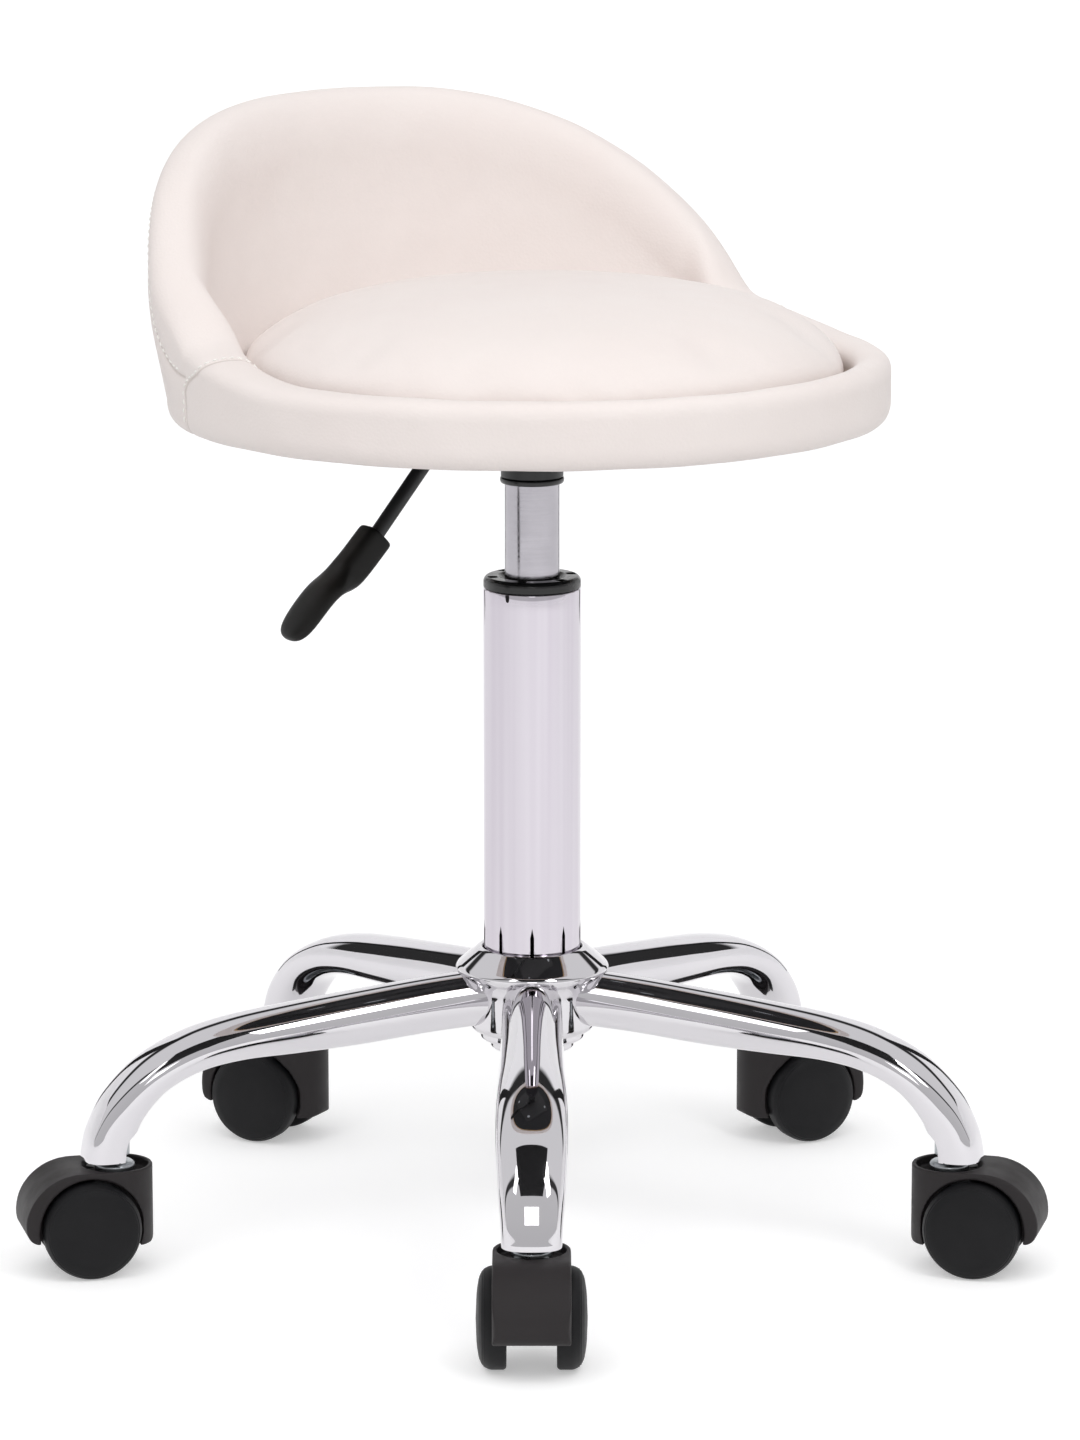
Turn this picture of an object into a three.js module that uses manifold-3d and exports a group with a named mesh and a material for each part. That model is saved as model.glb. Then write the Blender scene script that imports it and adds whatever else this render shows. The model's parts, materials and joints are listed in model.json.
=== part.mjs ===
// Rolling stylist stool: a round upholstered seat with a low wrap-around back, on a gas lift
// column and a five-leg base with twin-wheel casters. Millimetres, +Z up, floor at z = 0.

import * as THREE from 'three';
import { mergeVertices } from 'three/addons/utils/BufferGeometryUtils.js';
import { ParametricGeometry } from 'three/addons/geometries/ParametricGeometry.js';
import Module from 'manifold-3d';

const wasm = await Module();
wasm.setup();

// ---- driving dimensions ---------------------------------------------------------------------

const GAP = 0.3;                       // clearance left between touching pieces
const COLUMN_Y = 26;                   // column axis, behind the middle of the floor plan
const SEAT_TURN = 35;                  // degrees that the seat is turned on the base at rest

// Seat
const SEAT_BOTTOM = 426.6;
const SEAT_R = 182.9;                  // outer radius of the rim
const SEAT_Y = 2.6;                    // the rim's circle is set back from the column
const EDGE = { across: 6.5, rise: 10.4 };   // the rim's lower edge, a quarter ellipse
const WELL_R = 155.5;                  // radius of the well that the cushion sits in
const WELL_Y = -10;                    // the well is set forward of the column
const RIM_TOP = 459.8;
const BACK_RISE = 118.1;               // backrest height over the rim
const BACK_HALF_ANGLE = 77.7;          // degrees from the back's middle to its end
const BACK_FULLNESS = 2.76;            // exponent of the back's arch
const BACK_FLARE = { out: 8.4, rise: 63 };   // the back leans out as it rises
const BACK_THICKNESS = 30;
const SHOULDER = { rise: 14.7, from: 62, to: 130 };   // the rim's own slope beside the back
const CUSHION_BOTTOM = 442.3;
const CUSHION_TOP = 496;
const BOARD = { radius: 154, bottom: 428.4, thickness: 12 };
const DUST_COVER = { radius: 150, bottom: 427.3, thickness: 0.8 };
const PLATE = { side: 160, corner: 12, bottom: 424.5, thickness: 2.5 };
const SCREW_AT = 60;                   // screws stand at +-60, +-60 from the column

// Lever
const LEVER_Z = 417;                   // height of the rod's straight inner end
const LEVER_R = 4;
const LEVER_DROP = 48.6;               // degrees that the outer end slopes down
const LEVER_BEND = 58;                 // where the rod turns down
const LEVER_END = 104;
const CLIP_X = -26;                    // where the rod rocks in its clip
const GRIP_LINE = [[-94.6, 375.4], [-112.1, 358.2], [-128.2, 348.2], [-147.6, 327.8]];

// Gas lift column
const CYLINDER_R = 14;
const CYLINDER_BOTTOM = 215;
const CYLINDER_TOP = 408.5;
const TUBE_R = 25;
const TUBE_WALL = 1.5;
const TUBE_TOP = 339;
const TUBE_FOOT = 118;
const BUSHING_TOP = 345;
const ROD_R = 5;
const SLOT_COUNT = 9;                  // slots in the swaged foot of the tube

// Base
const HUB_TOP = 152;
const HUB_NECK_R = 32.5;
const LEG_COUNT = 5;
const LEG_WALL = 2;
const LEG_TIP = 58;                    // height of a leg's open tip
const STEM_AT = 222.5;                 // caster stems stand on this radius
const STEM_R = 5;

// Casters
const WHEEL_R = 25;
const WHEEL_SIDES = 16;
const WHEEL_INNER = 12.15;             // inner face of a wheel, from the caster's middle plane
const WHEEL_OUTER = 27;
const TRAIL = 15;                      // wheel axis behind the stem axis
const HOOD_HALF_WIDTH = 19;
const HOOD_TOP = 54.7;
const AXLE_R = 3;
const CASTER_HEADINGS = [270, 346, 26, 154, 194];   // degrees that each caster trails towards

// ---- materials ------------------------------------------------------------------------------

function finish(color, roughness, metalness) {
  return new THREE.MeshStandardMaterial({ color, roughness, metalness });
}

const leather = finish(0xf1ece6, 0.5, 0);
const plywood = finish(0xc9a878, 0.8, 0);
const blackCloth = finish(0x1c1c1d, 0.95, 0);
const blackSteel = finish(0x161617, 0.45, 0.3);
const zincSteel = finish(0xb5b8ba, 0.4, 1);
const satinSteel = finish(0xb9bcbe, 0.3, 1);
const chrome = finish(0xe8eaec, 0.05, 1);
const blackPlastic = finish(0x111112, 0.35, 0);
const nylon = finish(0x18181a, 0.55, 0);
const rubber = finish(0x202021, 0.9, 0);

// ---- geometry helpers -----------------------------------------------------------------------

const radians = THREE.MathUtils.degToRad;
const { lerp, smoothstep, clamp } = THREE.MathUtils;

// Merges shared corners and drops triangles that have closed up to a line.
function welded(geometry) {
  const bare = geometry.clone();
  bare.deleteAttribute('normal');
  bare.deleteAttribute('uv');
  const merged = mergeVertices(bare, 1e-4);
  const corners = merged.index.array;
  const kept = [];
  for (let i = 0; i < corners.length; i += 3) {
    const [a, b, c] = [corners[i], corners[i + 1], corners[i + 2]];
    if (a !== b && b !== c && c !== a) kept.push(a, b, c);
  }
  merged.setIndex(kept);
  return merged;
}

function signedVolume(geometry) {
  const at = geometry.attributes.position;
  const corners = geometry.index.array;
  const [a, b, c] = [new THREE.Vector3(), new THREE.Vector3(), new THREE.Vector3()];
  let volume = 0;
  for (let i = 0; i < corners.length; i += 3) {
    a.fromBufferAttribute(at, corners[i]);
    b.fromBufferAttribute(at, corners[i + 1]);
    c.fromBufferAttribute(at, corners[i + 2]);
    volume += a.dot(b.cross(c)) / 6;
  }
  return volume;
}

// Welds a closed surface and turns its faces outwards.
function closed(geometry) {
  const body = welded(geometry);
  if (signedVolume(body) < 0) body.setIndex(Array.from(body.index.array).reverse());
  return body;
}

function solid(geometry) {
  const body = closed(geometry);
  return new wasm.Manifold(new wasm.Mesh({
    numProp: 3,
    vertProperties: new Float32Array(body.attributes.position.array),
    triVerts: new Uint32Array(body.index.array),
  }));
}

function fromSolid(shape) {
  const { vertProperties, triVerts } = shape.getMesh();
  const geometry = new THREE.BufferGeometry();
  geometry.setAttribute('position', new THREE.BufferAttribute(vertProperties, 3));
  geometry.setIndex(new THREE.BufferAttribute(triVerts, 1));
  return geometry;
}

// Turns a profile of [radius, height] points about the Z axis.
function turned(profile, sides = 24, start = 0) {
  const points = profile.map(([r, z]) => new THREE.Vector2(r, z));
  if (THREE.ShapeUtils.area(points) < 0) points.reverse();
  const onAxis = points[0].x === 0;
  if (!onAxis) points.push(points[0].clone());
  return closed(new THREE.LatheGeometry(points, sides, start).rotateX(Math.PI / 2));
}

// A flat plate: an outline in X and Y, from height z upwards.
function plate(outline, z, thickness, sides = 6) {
  const options = { depth: thickness, bevelEnabled: false, curveSegments: sides };
  return closed(new THREE.ExtrudeGeometry(outline, options).translate(0, 0, z));
}

// An outline in X and Z, carried from y = -half to y = +half.
function sidewaysPlate(outline, half, sides = 6) {
  const options = { depth: 2 * half, bevelEnabled: false, curveSegments: sides };
  const body = new THREE.ExtrudeGeometry(outline, options).rotateX(Math.PI / 2);
  return closed(body.translate(0, half, 0));
}

function rod(radius, from, to, sides = 16) {
  const along = new THREE.Vector3().subVectors(to, from);
  const body = new THREE.CylinderGeometry(radius, radius, along.length(), sides);
  const up = new THREE.Vector3(0, 1, 0);
  body.applyQuaternion(new THREE.Quaternion().setFromUnitVectors(up, along.clone().normalize()));
  const middle = new THREE.Vector3().addVectors(from, to).multiplyScalar(0.5);
  return body.translate(middle.x, middle.y, middle.z);
}

// A cutting rod whose flats, not its corners, stand at the radius.
function bore(radius, from, to, sides = 8) {
  return solid(rod(radius / Math.cos(Math.PI / sides), from, to, sides));
}

function block(low, high) {
  const size = high.map((value, i) => value - low[i]);
  const middle = high.map((value, i) => (value + low[i]) / 2);
  return new THREE.BoxGeometry(...size).translate(...middle);
}

// Moves every corner of a geometry to place(corner).
function reshaped(geometry, place) {
  const at = geometry.attributes.position;
  const corner = new THREE.Vector3();
  for (let i = 0; i < at.count; i++) {
    corner.fromBufferAttribute(at, i);
    const moved = place(corner);
    at.setXYZ(i, moved.x, moved.y, moved.z);
  }
  return geometry;
}

function disc(radius, x = 0, y = 0, sides = 8) {
  const points = [];
  for (let i = 0; i < sides; i++) {
    const turn = (2 * Math.PI * i) / sides;
    points.push(new THREE.Vector2(x + radius * Math.cos(turn), y + radius * Math.sin(turn)));
  }
  return new THREE.Shape(points);
}

function add(parent, name, geometry, material) {
  const mesh = new THREE.Mesh(geometry, material);
  mesh.name = name;
  parent.add(mesh);
  return mesh;
}

// ---- seat -----------------------------------------------------------------------------------

// Distance from the column to a circle set back by y, at an angle from the back's middle.
function reachTo(radius, y, angle) {
  return y * Math.cos(angle) + Math.sqrt(radius ** 2 - (y * Math.sin(angle)) ** 2);
}

// Height of the shell's top over the rim: the backrest, eased into the sloping shoulder.
function backRise(angle) {
  const steep = BACK_RISE * (1 - (Math.abs(angle) / radians(BACK_HALF_ANGLE)) ** BACK_FULLNESS);
  const turn = Math.abs(THREE.MathUtils.radToDeg(angle));
  const low = SHOULDER.rise * (1 - smoothstep(turn, SHOULDER.from, SHOULDER.to));
  return (steep + low + Math.sqrt((steep - low) ** 2 + 60)) / 2;
}

// The shell's section: up the outside, over the rolled top, and down the inside of the well.
function shellSection(angle) {
  const rise = backRise(angle);
  const back = smoothstep(rise, 9, 50);
  const outer = reachTo(SEAT_R, SEAT_Y, angle);
  const inner = reachTo(WELL_R, WELL_Y, angle);
  const roll = lerp(9.5, 15, back);
  const shoulder = RIM_TOP + rise - roll;
  const edgeTop = SEAT_BOTTOM + EDGE.rise;
  const outerAt = (z) => {
    const share = clamp((z - edgeTop) / BACK_FLARE.rise, 0, 1);
    return outer + back * BACK_FLARE.out * Math.sin((Math.PI / 2) * share);
  };
  const topOuter = outerAt(shoulder);
  const topInner = lerp(inner, topOuter - BACK_THICKNESS, back);
  const bowlFoot = RIM_TOP - 4;
  const innerAt = (z) => {
    const share = clamp((z - bowlFoot) / (shoulder + 1 - bowlFoot), 0, 1);
    return lerp(inner, topInner, 1 - (1 - share) ** 1.8);
  };
  const points = [[inner, SEAT_BOTTOM]];
  for (const turn of [20, 50, 90]) {
    const across = EDGE.across * (1 - Math.sin(radians(turn)));
    const drop = EDGE.rise * (Math.cos(radians(turn)) / Math.cos(radians(20)));
    points.push([outer - across, edgeTop - drop]);
  }
  for (const share of [0.3, 0.65, 1]) {
    const z = lerp(edgeTop, shoulder, share);
    points.push([outerAt(z), z]);
  }
  for (const turn of [35, 65, 90, 115, 145]) {
    const across = (topOuter - topInner) / 2;
    const reach = Math.cos(radians(turn));
    points.push([topInner + across * (1 + reach), shoulder + roll * Math.sin(radians(turn))]);
  }
  for (const share of [0, 0.25, 0.5, 0.75]) {
    const z = lerp(shoulder, 446, share);
    points.push([innerAt(z), z]);
  }
  points.push([inner, 440]);
  return points;
}

function shellGeometry() {
  const sections = 42;
  const count = shellSection(0).length;
  const place = (u, v, target) => {
    const angle = 2 * Math.PI * (Math.round(u * sections) % sections) / sections;
    const [r, z] = shellSection(angle > Math.PI ? angle - 2 * Math.PI : angle)[
      Math.round(v * count) % count];
    target.set(-r * Math.sin(angle), r * Math.cos(angle), z);
  };
  return closed(new ParametricGeometry(place, sections, count));
}

function cushionGeometry() {
  const side = WELL_R - 0.9;
  const profile = [
    [0, CUSHION_BOTTOM], [side - 3, CUSHION_BOTTOM], [side, CUSHION_BOTTOM + 4], [side, 455],
    [side - 4, 464], [side - 18, 473.5], [side - 46, 484], [side - 90, 492.5], [0, CUSHION_TOP],
  ];
  return turned(profile, 36).translate(0, WELL_Y, 0);
}

function screwPlaces() {
  return [[1, 1], [-1, 1], [-1, -1], [1, -1]].map(([x, y]) => [x * SCREW_AT, y * SCREW_AT]);
}

function withScrewHoles(outline, radius) {
  for (const [x, y] of screwPlaces()) outline.holes.push(disc(radius, x, y));
  return outline;
}

function roundedSquare(side, corner) {
  const half = side / 2;
  const core = half - corner;
  const shape = new THREE.Shape();
  const corners = [[core, -core, -90], [core, core, 0], [-core, core, 90], [-core, -core, 180]];
  for (const [x, y, from] of corners) {
    shape.absarc(x, y, corner, radians(from), radians(from + 90), false);
  }
  return shape;
}

function addScrews(parent) {
  const nut = turned([[3.2, 431], [4, 431], [4, 440.7], [9, 440.7], [9, 441.9], [3.2, 441.9]], 8);
  const headTop = PLATE.bottom - GAP;
  const screw = turned([
    [0, headTop - 2.8], [5.2, headTop - 2.8], [6, headTop - 2], [6, headTop],
    [2.8, headTop], [2.8, 439], [0, 439],
  ], 8);
  screwPlaces().forEach(([x, y], i) => {
    add(parent, `t_nut_${i + 1}`, nut, zincSteel).position.set(x, y, 0);
    add(parent, `seat_screw_${i + 1}`, screw, zincSteel).position.set(x, y, 0);
  });
}

function addUpholstery(parent) {
  add(parent, 'back_and_rim', shellGeometry(), leather);
  add(parent, 'seat_cushion', cushionGeometry(), leather);
  const board = withScrewHoles(disc(BOARD.radius, 0, WELL_Y, 30), 4.4);
  add(parent, 'seat_board', plate(board, BOARD.bottom, BOARD.thickness), plywood);
  const cover = withScrewHoles(disc(DUST_COVER.radius, 0, WELL_Y, 30), 3.6);
  const coverBody = plate(cover, DUST_COVER.bottom, DUST_COVER.thickness);
  add(parent, 'dust_cover', coverBody, blackCloth);
}

// The socket takes the cylinder's taper. A notch in its wall lets the lever reach the pin.
function socketGeometry() {
  const top = PLATE.bottom - GAP;
  const tube = turned([
    [13.6, 396], [15.9, 396], [15.9, top], [13.1, top], [13.1, CYLINDER_TOP + 0.5],
  ], 20);
  const notch = block([-20, -5, 409.5], [-6, 5, 430]);
  return fromSolid(solid(tube).subtract(solid(notch)));
}

function clipGeometry() {
  const top = PLATE.bottom - GAP;
  const body = block([CLIP_X - 5, -8, 410.3], [CLIP_X + 5, 8, top]);
  const ends = [CLIP_X - 6, CLIP_X + 6].map((x) => new THREE.Vector3(x, 0, LEVER_Z));
  return fromSolid(solid(body).subtract(bore(LEVER_R + 1.2, ...ends, 12)));
}

function addSeatPlate(parent) {
  const outline = withScrewHoles(roundedSquare(PLATE.side, PLATE.corner), 3.4);
  add(parent, 'seat_plate', plate(outline, PLATE.bottom, PLATE.thickness, 3), blackSteel);
  add(parent, 'plate_socket', socketGeometry(), blackSteel);
  add(parent, 'lever_clip', clipGeometry(), blackSteel);
}

// ---- lever ----------------------------------------------------------------------------------

function leverPoint(beyondBend) {
  const slope = radians(LEVER_DROP);
  const x = -LEVER_BEND - beyondBend * Math.cos(slope);
  return new THREE.Vector3(x, 0, LEVER_Z - beyondBend * Math.sin(slope));
}

function leverReach() {
  return (LEVER_END - LEVER_BEND) / Math.cos(radians(LEVER_DROP));
}

function leverRodGeometry() {
  const path = new THREE.CurvePath();
  const bend = new THREE.Vector3(-LEVER_BEND, 0, LEVER_Z);
  const before = new THREE.Vector3(-LEVER_BEND + 8, 0, LEVER_Z);
  const tip = new THREE.Vector3(3, 0, LEVER_Z);
  path.add(new THREE.LineCurve3(tip, before));
  path.add(new THREE.QuadraticBezierCurve3(before, bend, leverPoint(8)));
  path.add(new THREE.LineCurve3(leverPoint(8), leverPoint(leverReach())));
  const section = new THREE.Shape();
  for (let i = 0; i < 8; i++) {
    const turn = radians(45 * i + 22.5);
    const [x, y] = [LEVER_R * Math.cos(turn), LEVER_R * Math.sin(turn)];
    if (i === 0) section.moveTo(x, y);
    else section.lineTo(x, y);
  }
  const options = { steps: 16, bevelEnabled: false, extrudePath: path };
  return closed(new THREE.ExtrudeGeometry(section, options));
}

// The grip: a square sleeve on the rod that jogs outwards and flattens to a thumb paddle.
function gripGeometry() {
  const line = new THREE.CatmullRomCurve3(GRIP_LINE.map(([x, z]) => new THREE.Vector3(x, 0, z)));
  const reach = line.getLength();
  const across = new THREE.Vector3(0, 1, 0);
  const body = reshaped(new THREE.SphereGeometry(1, 12, 13), (corner) => {
    const share = (1 - corner.y) / 2;
    const round = Math.hypot(corner.x, corner.z);
    const end = (1 - Math.abs(2 * share - 1) ** 8) ** (1 / 8);
    const flat = smoothstep(share * reach, 24, 40);
    const out = new THREE.Vector3().crossVectors(line.getTangent(share), across);
    const bow = (value) => Math.sign(value) * Math.abs(value / round) ** 0.8 * end;
    const side = round > 1e-6 ? lerp(8, 12, flat) * bow(corner.x) : 0;
    const rise = round > 1e-6 ? lerp(8, 4.8, flat) * bow(corner.z) : 0;
    return line.getPoint(share).addScaledVector(across, side).addScaledVector(out, rise);
  });
  const seatForRod = bore(LEVER_R + GAP, leverPoint(40), leverPoint(leverReach() + GAP));
  return fromSolid(solid(body).subtract(seatForRod));
}

function addLever(parent) {
  add(parent, 'lever_rod', leverRodGeometry(), blackSteel);
  add(parent, 'lever_grip', gripGeometry(), blackPlastic);
}

// ---- gas lift column ------------------------------------------------------------------------

function addCylinder(parent) {
  const collar = [[14.3, 392.8], [16.3, 392.8], [16.3, 395.7], [14.3, 395.7]];
  add(parent, 'socket_collar', turned(collar, 20), blackPlastic);
  const cylinder = [
    [0, 400], [4, 400], [4, CYLINDER_TOP], [12.8, CYLINDER_TOP], [13.3, 396],
    [CYLINDER_R, 394.5], [CYLINDER_R, CYLINDER_BOTTOM + 2], [12.5, CYLINDER_BOTTOM],
    [5.4, CYLINDER_BOTTOM], [5.4, 225], [12, 225], [12, 397], [0, 397],
  ];
  add(parent, 'gas_cylinder', turned(cylinder, 20), satinSteel);
  const pinTop = LEVER_Z - LEVER_R - GAP;
  const pin = [[0, 404.6], [3.5, 404.6], [3.5, pinTop - 1.2], [2.6, pinTop], [0, pinTop]];
  add(parent, 'release_pin', turned(pin, 8), zincSteel);
}

// The tube narrows into the hub at its foot, where narrow pointed slots let it close in.
function tubeGeometry() {
  const inner = TUBE_R - TUBE_WALL;
  const tube = turned([
    [6.5, TUBE_FOOT], [23.2, TUBE_FOOT], [24.4, 146], [TUBE_R, 152], [TUBE_R, TUBE_TOP],
    [inner, TUBE_TOP], [inner, 152], [22.9, 146], [21.7, TUBE_FOOT + 3], [6.5, TUBE_FOOT + 3],
  ], 27, Math.PI / 27);
  const outline = new THREE.Shape([
    new THREE.Vector2(-1, 140), new THREE.Vector2(1, 140),
    new THREE.Vector2(0.8, 160), new THREE.Vector2(0, 166), new THREE.Vector2(-0.8, 160),
  ]);
  let shape = solid(tube);
  for (let i = 0; i < SLOT_COUNT; i++) {
    const slot = sidewaysPlate(outline, 5).translate(0, -24, 0);
    shape = shape.subtract(solid(slot.rotateZ((2 * Math.PI * i) / SLOT_COUNT)));
  }
  return fromSolid(shape);
}

function addTube(parent) {
  add(parent, 'column_tube', tubeGeometry(), chrome);
  const bushing = [
    [CYLINDER_R + GAP, 263], [23.2, 263], [23.2, TUBE_TOP + GAP], [24.9, TUBE_TOP + GAP],
    [24.9, BUSHING_TOP - 1.5], [23.4, BUSHING_TOP], [17, BUSHING_TOP], [CYLINDER_R + GAP, 342.5],
  ];
  add(parent, 'tube_bushing', turned(bushing, 24), blackPlastic);
  const floor = TUBE_FOOT + 3;
  const bearing = [[7, floor + 0.4], [17, floor + 0.4], [17, floor + 6.4], [7, floor + 6.4]];
  add(parent, 'thrust_bearing', turned(bearing, 12), zincSteel);
  const washer = [[6.5, floor + 6.7], [16, floor + 6.7], [16, floor + 8.7], [6.5, floor + 8.7]];
  add(parent, 'bearing_washer', turned(washer, 12), zincSteel);
}

function addPistonRod(parent) {
  const piston = [
    [0, 108.5], [4.4, 108.5], [ROD_R, 109.2], [ROD_R, 115.6], [4, 115.6], [4, 117.7],
    [ROD_R, 117.7], [ROD_R, 130], [9, 130], [9, 133], [ROD_R, 133], [ROD_R, 326],
    [11.6, 326], [11.6, 334], [0, 334],
  ];
  add(parent, 'piston_rod', turned(piston, 12), satinSteel);
  const stop = [[5.4, 133.4], [11, 133.4], [12, 136], [12, 146], [10, 149], [5.4, 149]];
  add(parent, 'bump_stop', turned(stop, 12), rubber);
  const clip = new THREE.Shape().absarc(0, 0, 8.5, radians(30), radians(330), false);
  clip.absarc(0, 0, 4.3, radians(330), radians(30), true);
  add(parent, 'retaining_clip', plate(clip, 115.9, 1.5, 6), zincSteel);
}

// ---- base -----------------------------------------------------------------------------------

// The hub's outside, from its mouth down over the flared skirt to its foot.
function hubOutside(grow = 0) {
  const outside = [
    [28, 151.6], [33, 147.5], [38.6, 142.6], [39.7, 140.6], [38.6, 138.4], [34.5, 134.5],
    [HUB_NECK_R, 130], [HUB_NECK_R, 110.5], [30.5, 108],
  ];
  return outside.map(([r, z]) => [r + grow, z]);
}

function hubGeometry() {
  const bore = TUBE_R + 0.35;
  return turned([
    [bore, 150.5], [26.2, HUB_TOP], ...hubOutside(), [20, 108], [20, 114], [bore, 114],
  ], 30);
}

// Stations along a leg: reach from the column, height, half width and half depth.
const LEG_STATIONS = [
  [22, 126.6, 15.5, 14.6], [58, 124.3, 15.6, 14.3], [94, 120.8, 16, 14.1],
  [128, 118, 16.7, 13.1], [158, 115.3, 17.3, 11.6], [182, 110, 17.7, 10.6],
  [203, 99.5, 17.6, 10.3], [218, 84, 16.6, 11], [225, 69, 15.3, 12], [227, LEG_TIP, 14.8, 12.6],
];

// Spreads a unit prism along the leg, between two shares of its length, less a wall.
function legLoft(fromShare, toShare, wall, steps) {
  const line = new THREE.SplineCurve(LEG_STATIONS.map(([x, z]) => new THREE.Vector2(x, z)));
  const girth = new THREE.SplineCurve(LEG_STATIONS.map(([, , w, d]) => new THREE.Vector2(w, d)));
  const options = { depth: 1, steps, bevelEnabled: false };
  const prism = new THREE.ExtrudeGeometry(disc(1, 0, 0, 10), options);
  return reshaped(prism, (corner) => {
    const share = lerp(fromShare, toShare, corner.z);
    const held = clamp(share, 0, 1);
    const point = line.getPoint(held);
    const along = line.getTangent(held);
    point.addScaledVector(along, (share - held) * 250);
    const size = girth.getPoint(held);
    const square = lerp(1, 0.72, smoothstep(held, 0.3, 1));
    const bow = (value) => Math.sign(value) * Math.abs(value) ** square;
    const side = bow(corner.x) * (size.x - wall);
    const rise = bow(corner.y) * (size.y - wall);
    return new THREE.Vector3(point.x - along.y * rise, side, point.y + along.x * rise);
  });
}

// A hollow leg, cut to the hub at its root, with a stem socket in its open tip.
function legGeometry() {
  const stemLine = (z) => new THREE.Vector3(STEM_AT, 0, z);
  const socket = solid(rod(8.5, stemLine(40), stemLine(100), 8));
  const window = solid(block([200, -9.5, 40], [219, 9.5, 78]));
  const tip = solid(legLoft(0.8, 1.06, LEG_WALL, 3)).add(window).subtract(socket);
  const hubSpace = solid(turned([[0, 170], [28 + 0.4, 170], ...hubOutside(0.4), [0, 108]], 30));
  const underTip = solid(block([190, -30, 30], [260, 30, LEG_TIP]));
  const leg = solid(legLoft(0, 1.02, 0, 11))
    .subtract(solid(legLoft(-0.1, 0.72, LEG_WALL, 7)))
    .subtract(tip)
    .subtract(bore(STEM_R + GAP, stemLine(40), stemLine(81)))
    .subtract(hubSpace)
    .subtract(underTip);
  return fromSolid(leg);
}

// ---- casters --------------------------------------------------------------------------------

// The hood's side view: an upright housing on the stem and an arch over the wheels.
function hoodOutline() {
  const shape = new THREE.Shape();
  shape.moveTo(-15, 14.5);
  shape.lineTo(44.5, 13.6);
  shape.quadraticCurveTo(47.6, 14, 48.2, 20);
  shape.bezierCurveTo(51, 37, 39, HOOD_TOP, 20, HOOD_TOP);
  shape.lineTo(-16.5, HOOD_TOP);
  shape.quadraticCurveTo(-19, HOOD_TOP, -19, HOOD_TOP - 2.5);
  shape.lineTo(-19, 18.5);
  shape.quadraticCurveTo(-19, 14.5, -15, 14.5);
  return shape;
}

function hoodGeometry() {
  let shape = solid(sidewaysPlate(hoodOutline(), HOOD_HALF_WIDTH, 5));
  for (const side of [-1, 1]) {
    const [near, far] = [11.8, 22].map((y) => new THREE.Vector3(TRAIL, side * y, WHEEL_R));
    shape = shape.subtract(bore(WHEEL_R + 1.6, near, far, 18));
  }
  const axle = [-15, 15].map((y) => new THREE.Vector3(TRAIL, y, WHEEL_R));
  const stem = [33, 60].map((z) => new THREE.Vector3(0, 0, z));
  const cup = [52.3, 60].map((z) => new THREE.Vector3(0, 0, z));
  return fromSolid(shape
    .subtract(bore(AXLE_R + GAP, ...axle))
    .subtract(bore(STEM_R + GAP, ...stem))
    .subtract(bore(16.4, ...cup, 16)));
}

function stemGeometry() {
  return turned([
    [0, 34], [STEM_R, 34], [STEM_R, 52.6], [11.5, 52.6], [12.4, 53.6], [12.4, 55.8],
    [11, 57.2], [STEM_R, 57.2], [STEM_R, 79], [4, 80], [0, 80],
  ], 8);
}

// A wheel on the +Y side, with a flat facet at its foot and a domed outer face.
function wheelGeometry() {
  const tread = WHEEL_R / Math.cos(Math.PI / WHEEL_SIDES);
  const profile = [
    [0, 23], [AXLE_R + GAP, 23], [AXLE_R + GAP, WHEEL_INNER], [tread - 1.2, WHEEL_INNER],
    [tread, WHEEL_INNER + 1.2], [tread, 20.5], [tread - 2.6, 24.4], [14, 26.6], [0, WHEEL_OUTER],
  ];
  return turned(profile, WHEEL_SIDES, Math.PI / WHEEL_SIDES).rotateX(-Math.PI / 2);
}

function addCaster(parent, number, parts) {
  add(parent, `caster_stem_${number}`, parts.stem, zincSteel);
  add(parent, `caster_hood_${number}`, parts.hood, nylon);
  add(parent, `caster_axle_${number}`, parts.axle, zincSteel);
  for (const [side, turn] of [['left', 0], ['right', Math.PI]]) {
    const wheel = add(parent, `wheel_${number}_${side}`, parts.wheel, nylon);
    wheel.position.set(TRAIL, 0, WHEEL_R);
    wheel.rotation.z = turn;
  }
}

function addBase(parent) {
  add(parent, 'hub', hubGeometry(), chrome);
  const ring = [
    [12, 98], [20.5, 98], [21.7, 99.2], [21.7, 103], [25.8, 103], [27, 104.2],
    [27, 108 - GAP], [12, 108 - GAP],
  ];
  add(parent, 'hub_ring', turned(ring, 20), chrome);
  const leg = legGeometry();
  const axleEnds = [-22, 22].map((y) => new THREE.Vector3(TRAIL, y, WHEEL_R));
  const parts = {
    stem: stemGeometry(),
    hood: hoodGeometry(),
    axle: closed(rod(AXLE_R, ...axleEnds, 8)),
    wheel: wheelGeometry(),
  };
  for (let i = 0; i < LEG_COUNT; i++) {
    const azimuth = radians(270 + (360 / LEG_COUNT) * i);
    add(parent, `leg_${i + 1}`, leg, chrome).rotation.z = azimuth;
    const caster = new THREE.Group();
    caster.position.set(STEM_AT * Math.cos(azimuth), STEM_AT * Math.sin(azimuth), 0);
    caster.rotation.z = radians(CASTER_HEADINGS[i]);
    addCaster(caster, i + 1, parts);
    parent.add(caster);
  }
}

// ---- assembly -------------------------------------------------------------------------------

const stool = new THREE.Group();
stool.position.y = COLUMN_Y;

const seat = new THREE.Group();
seat.rotation.z = radians(SEAT_TURN);
addUpholstery(seat);
addScrews(seat);
addSeatPlate(seat);
addLever(seat);
addCylinder(seat);
stool.add(seat);

addTube(stool);
addPistonRod(stool);
addBase(stool);

export default stool;
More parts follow.
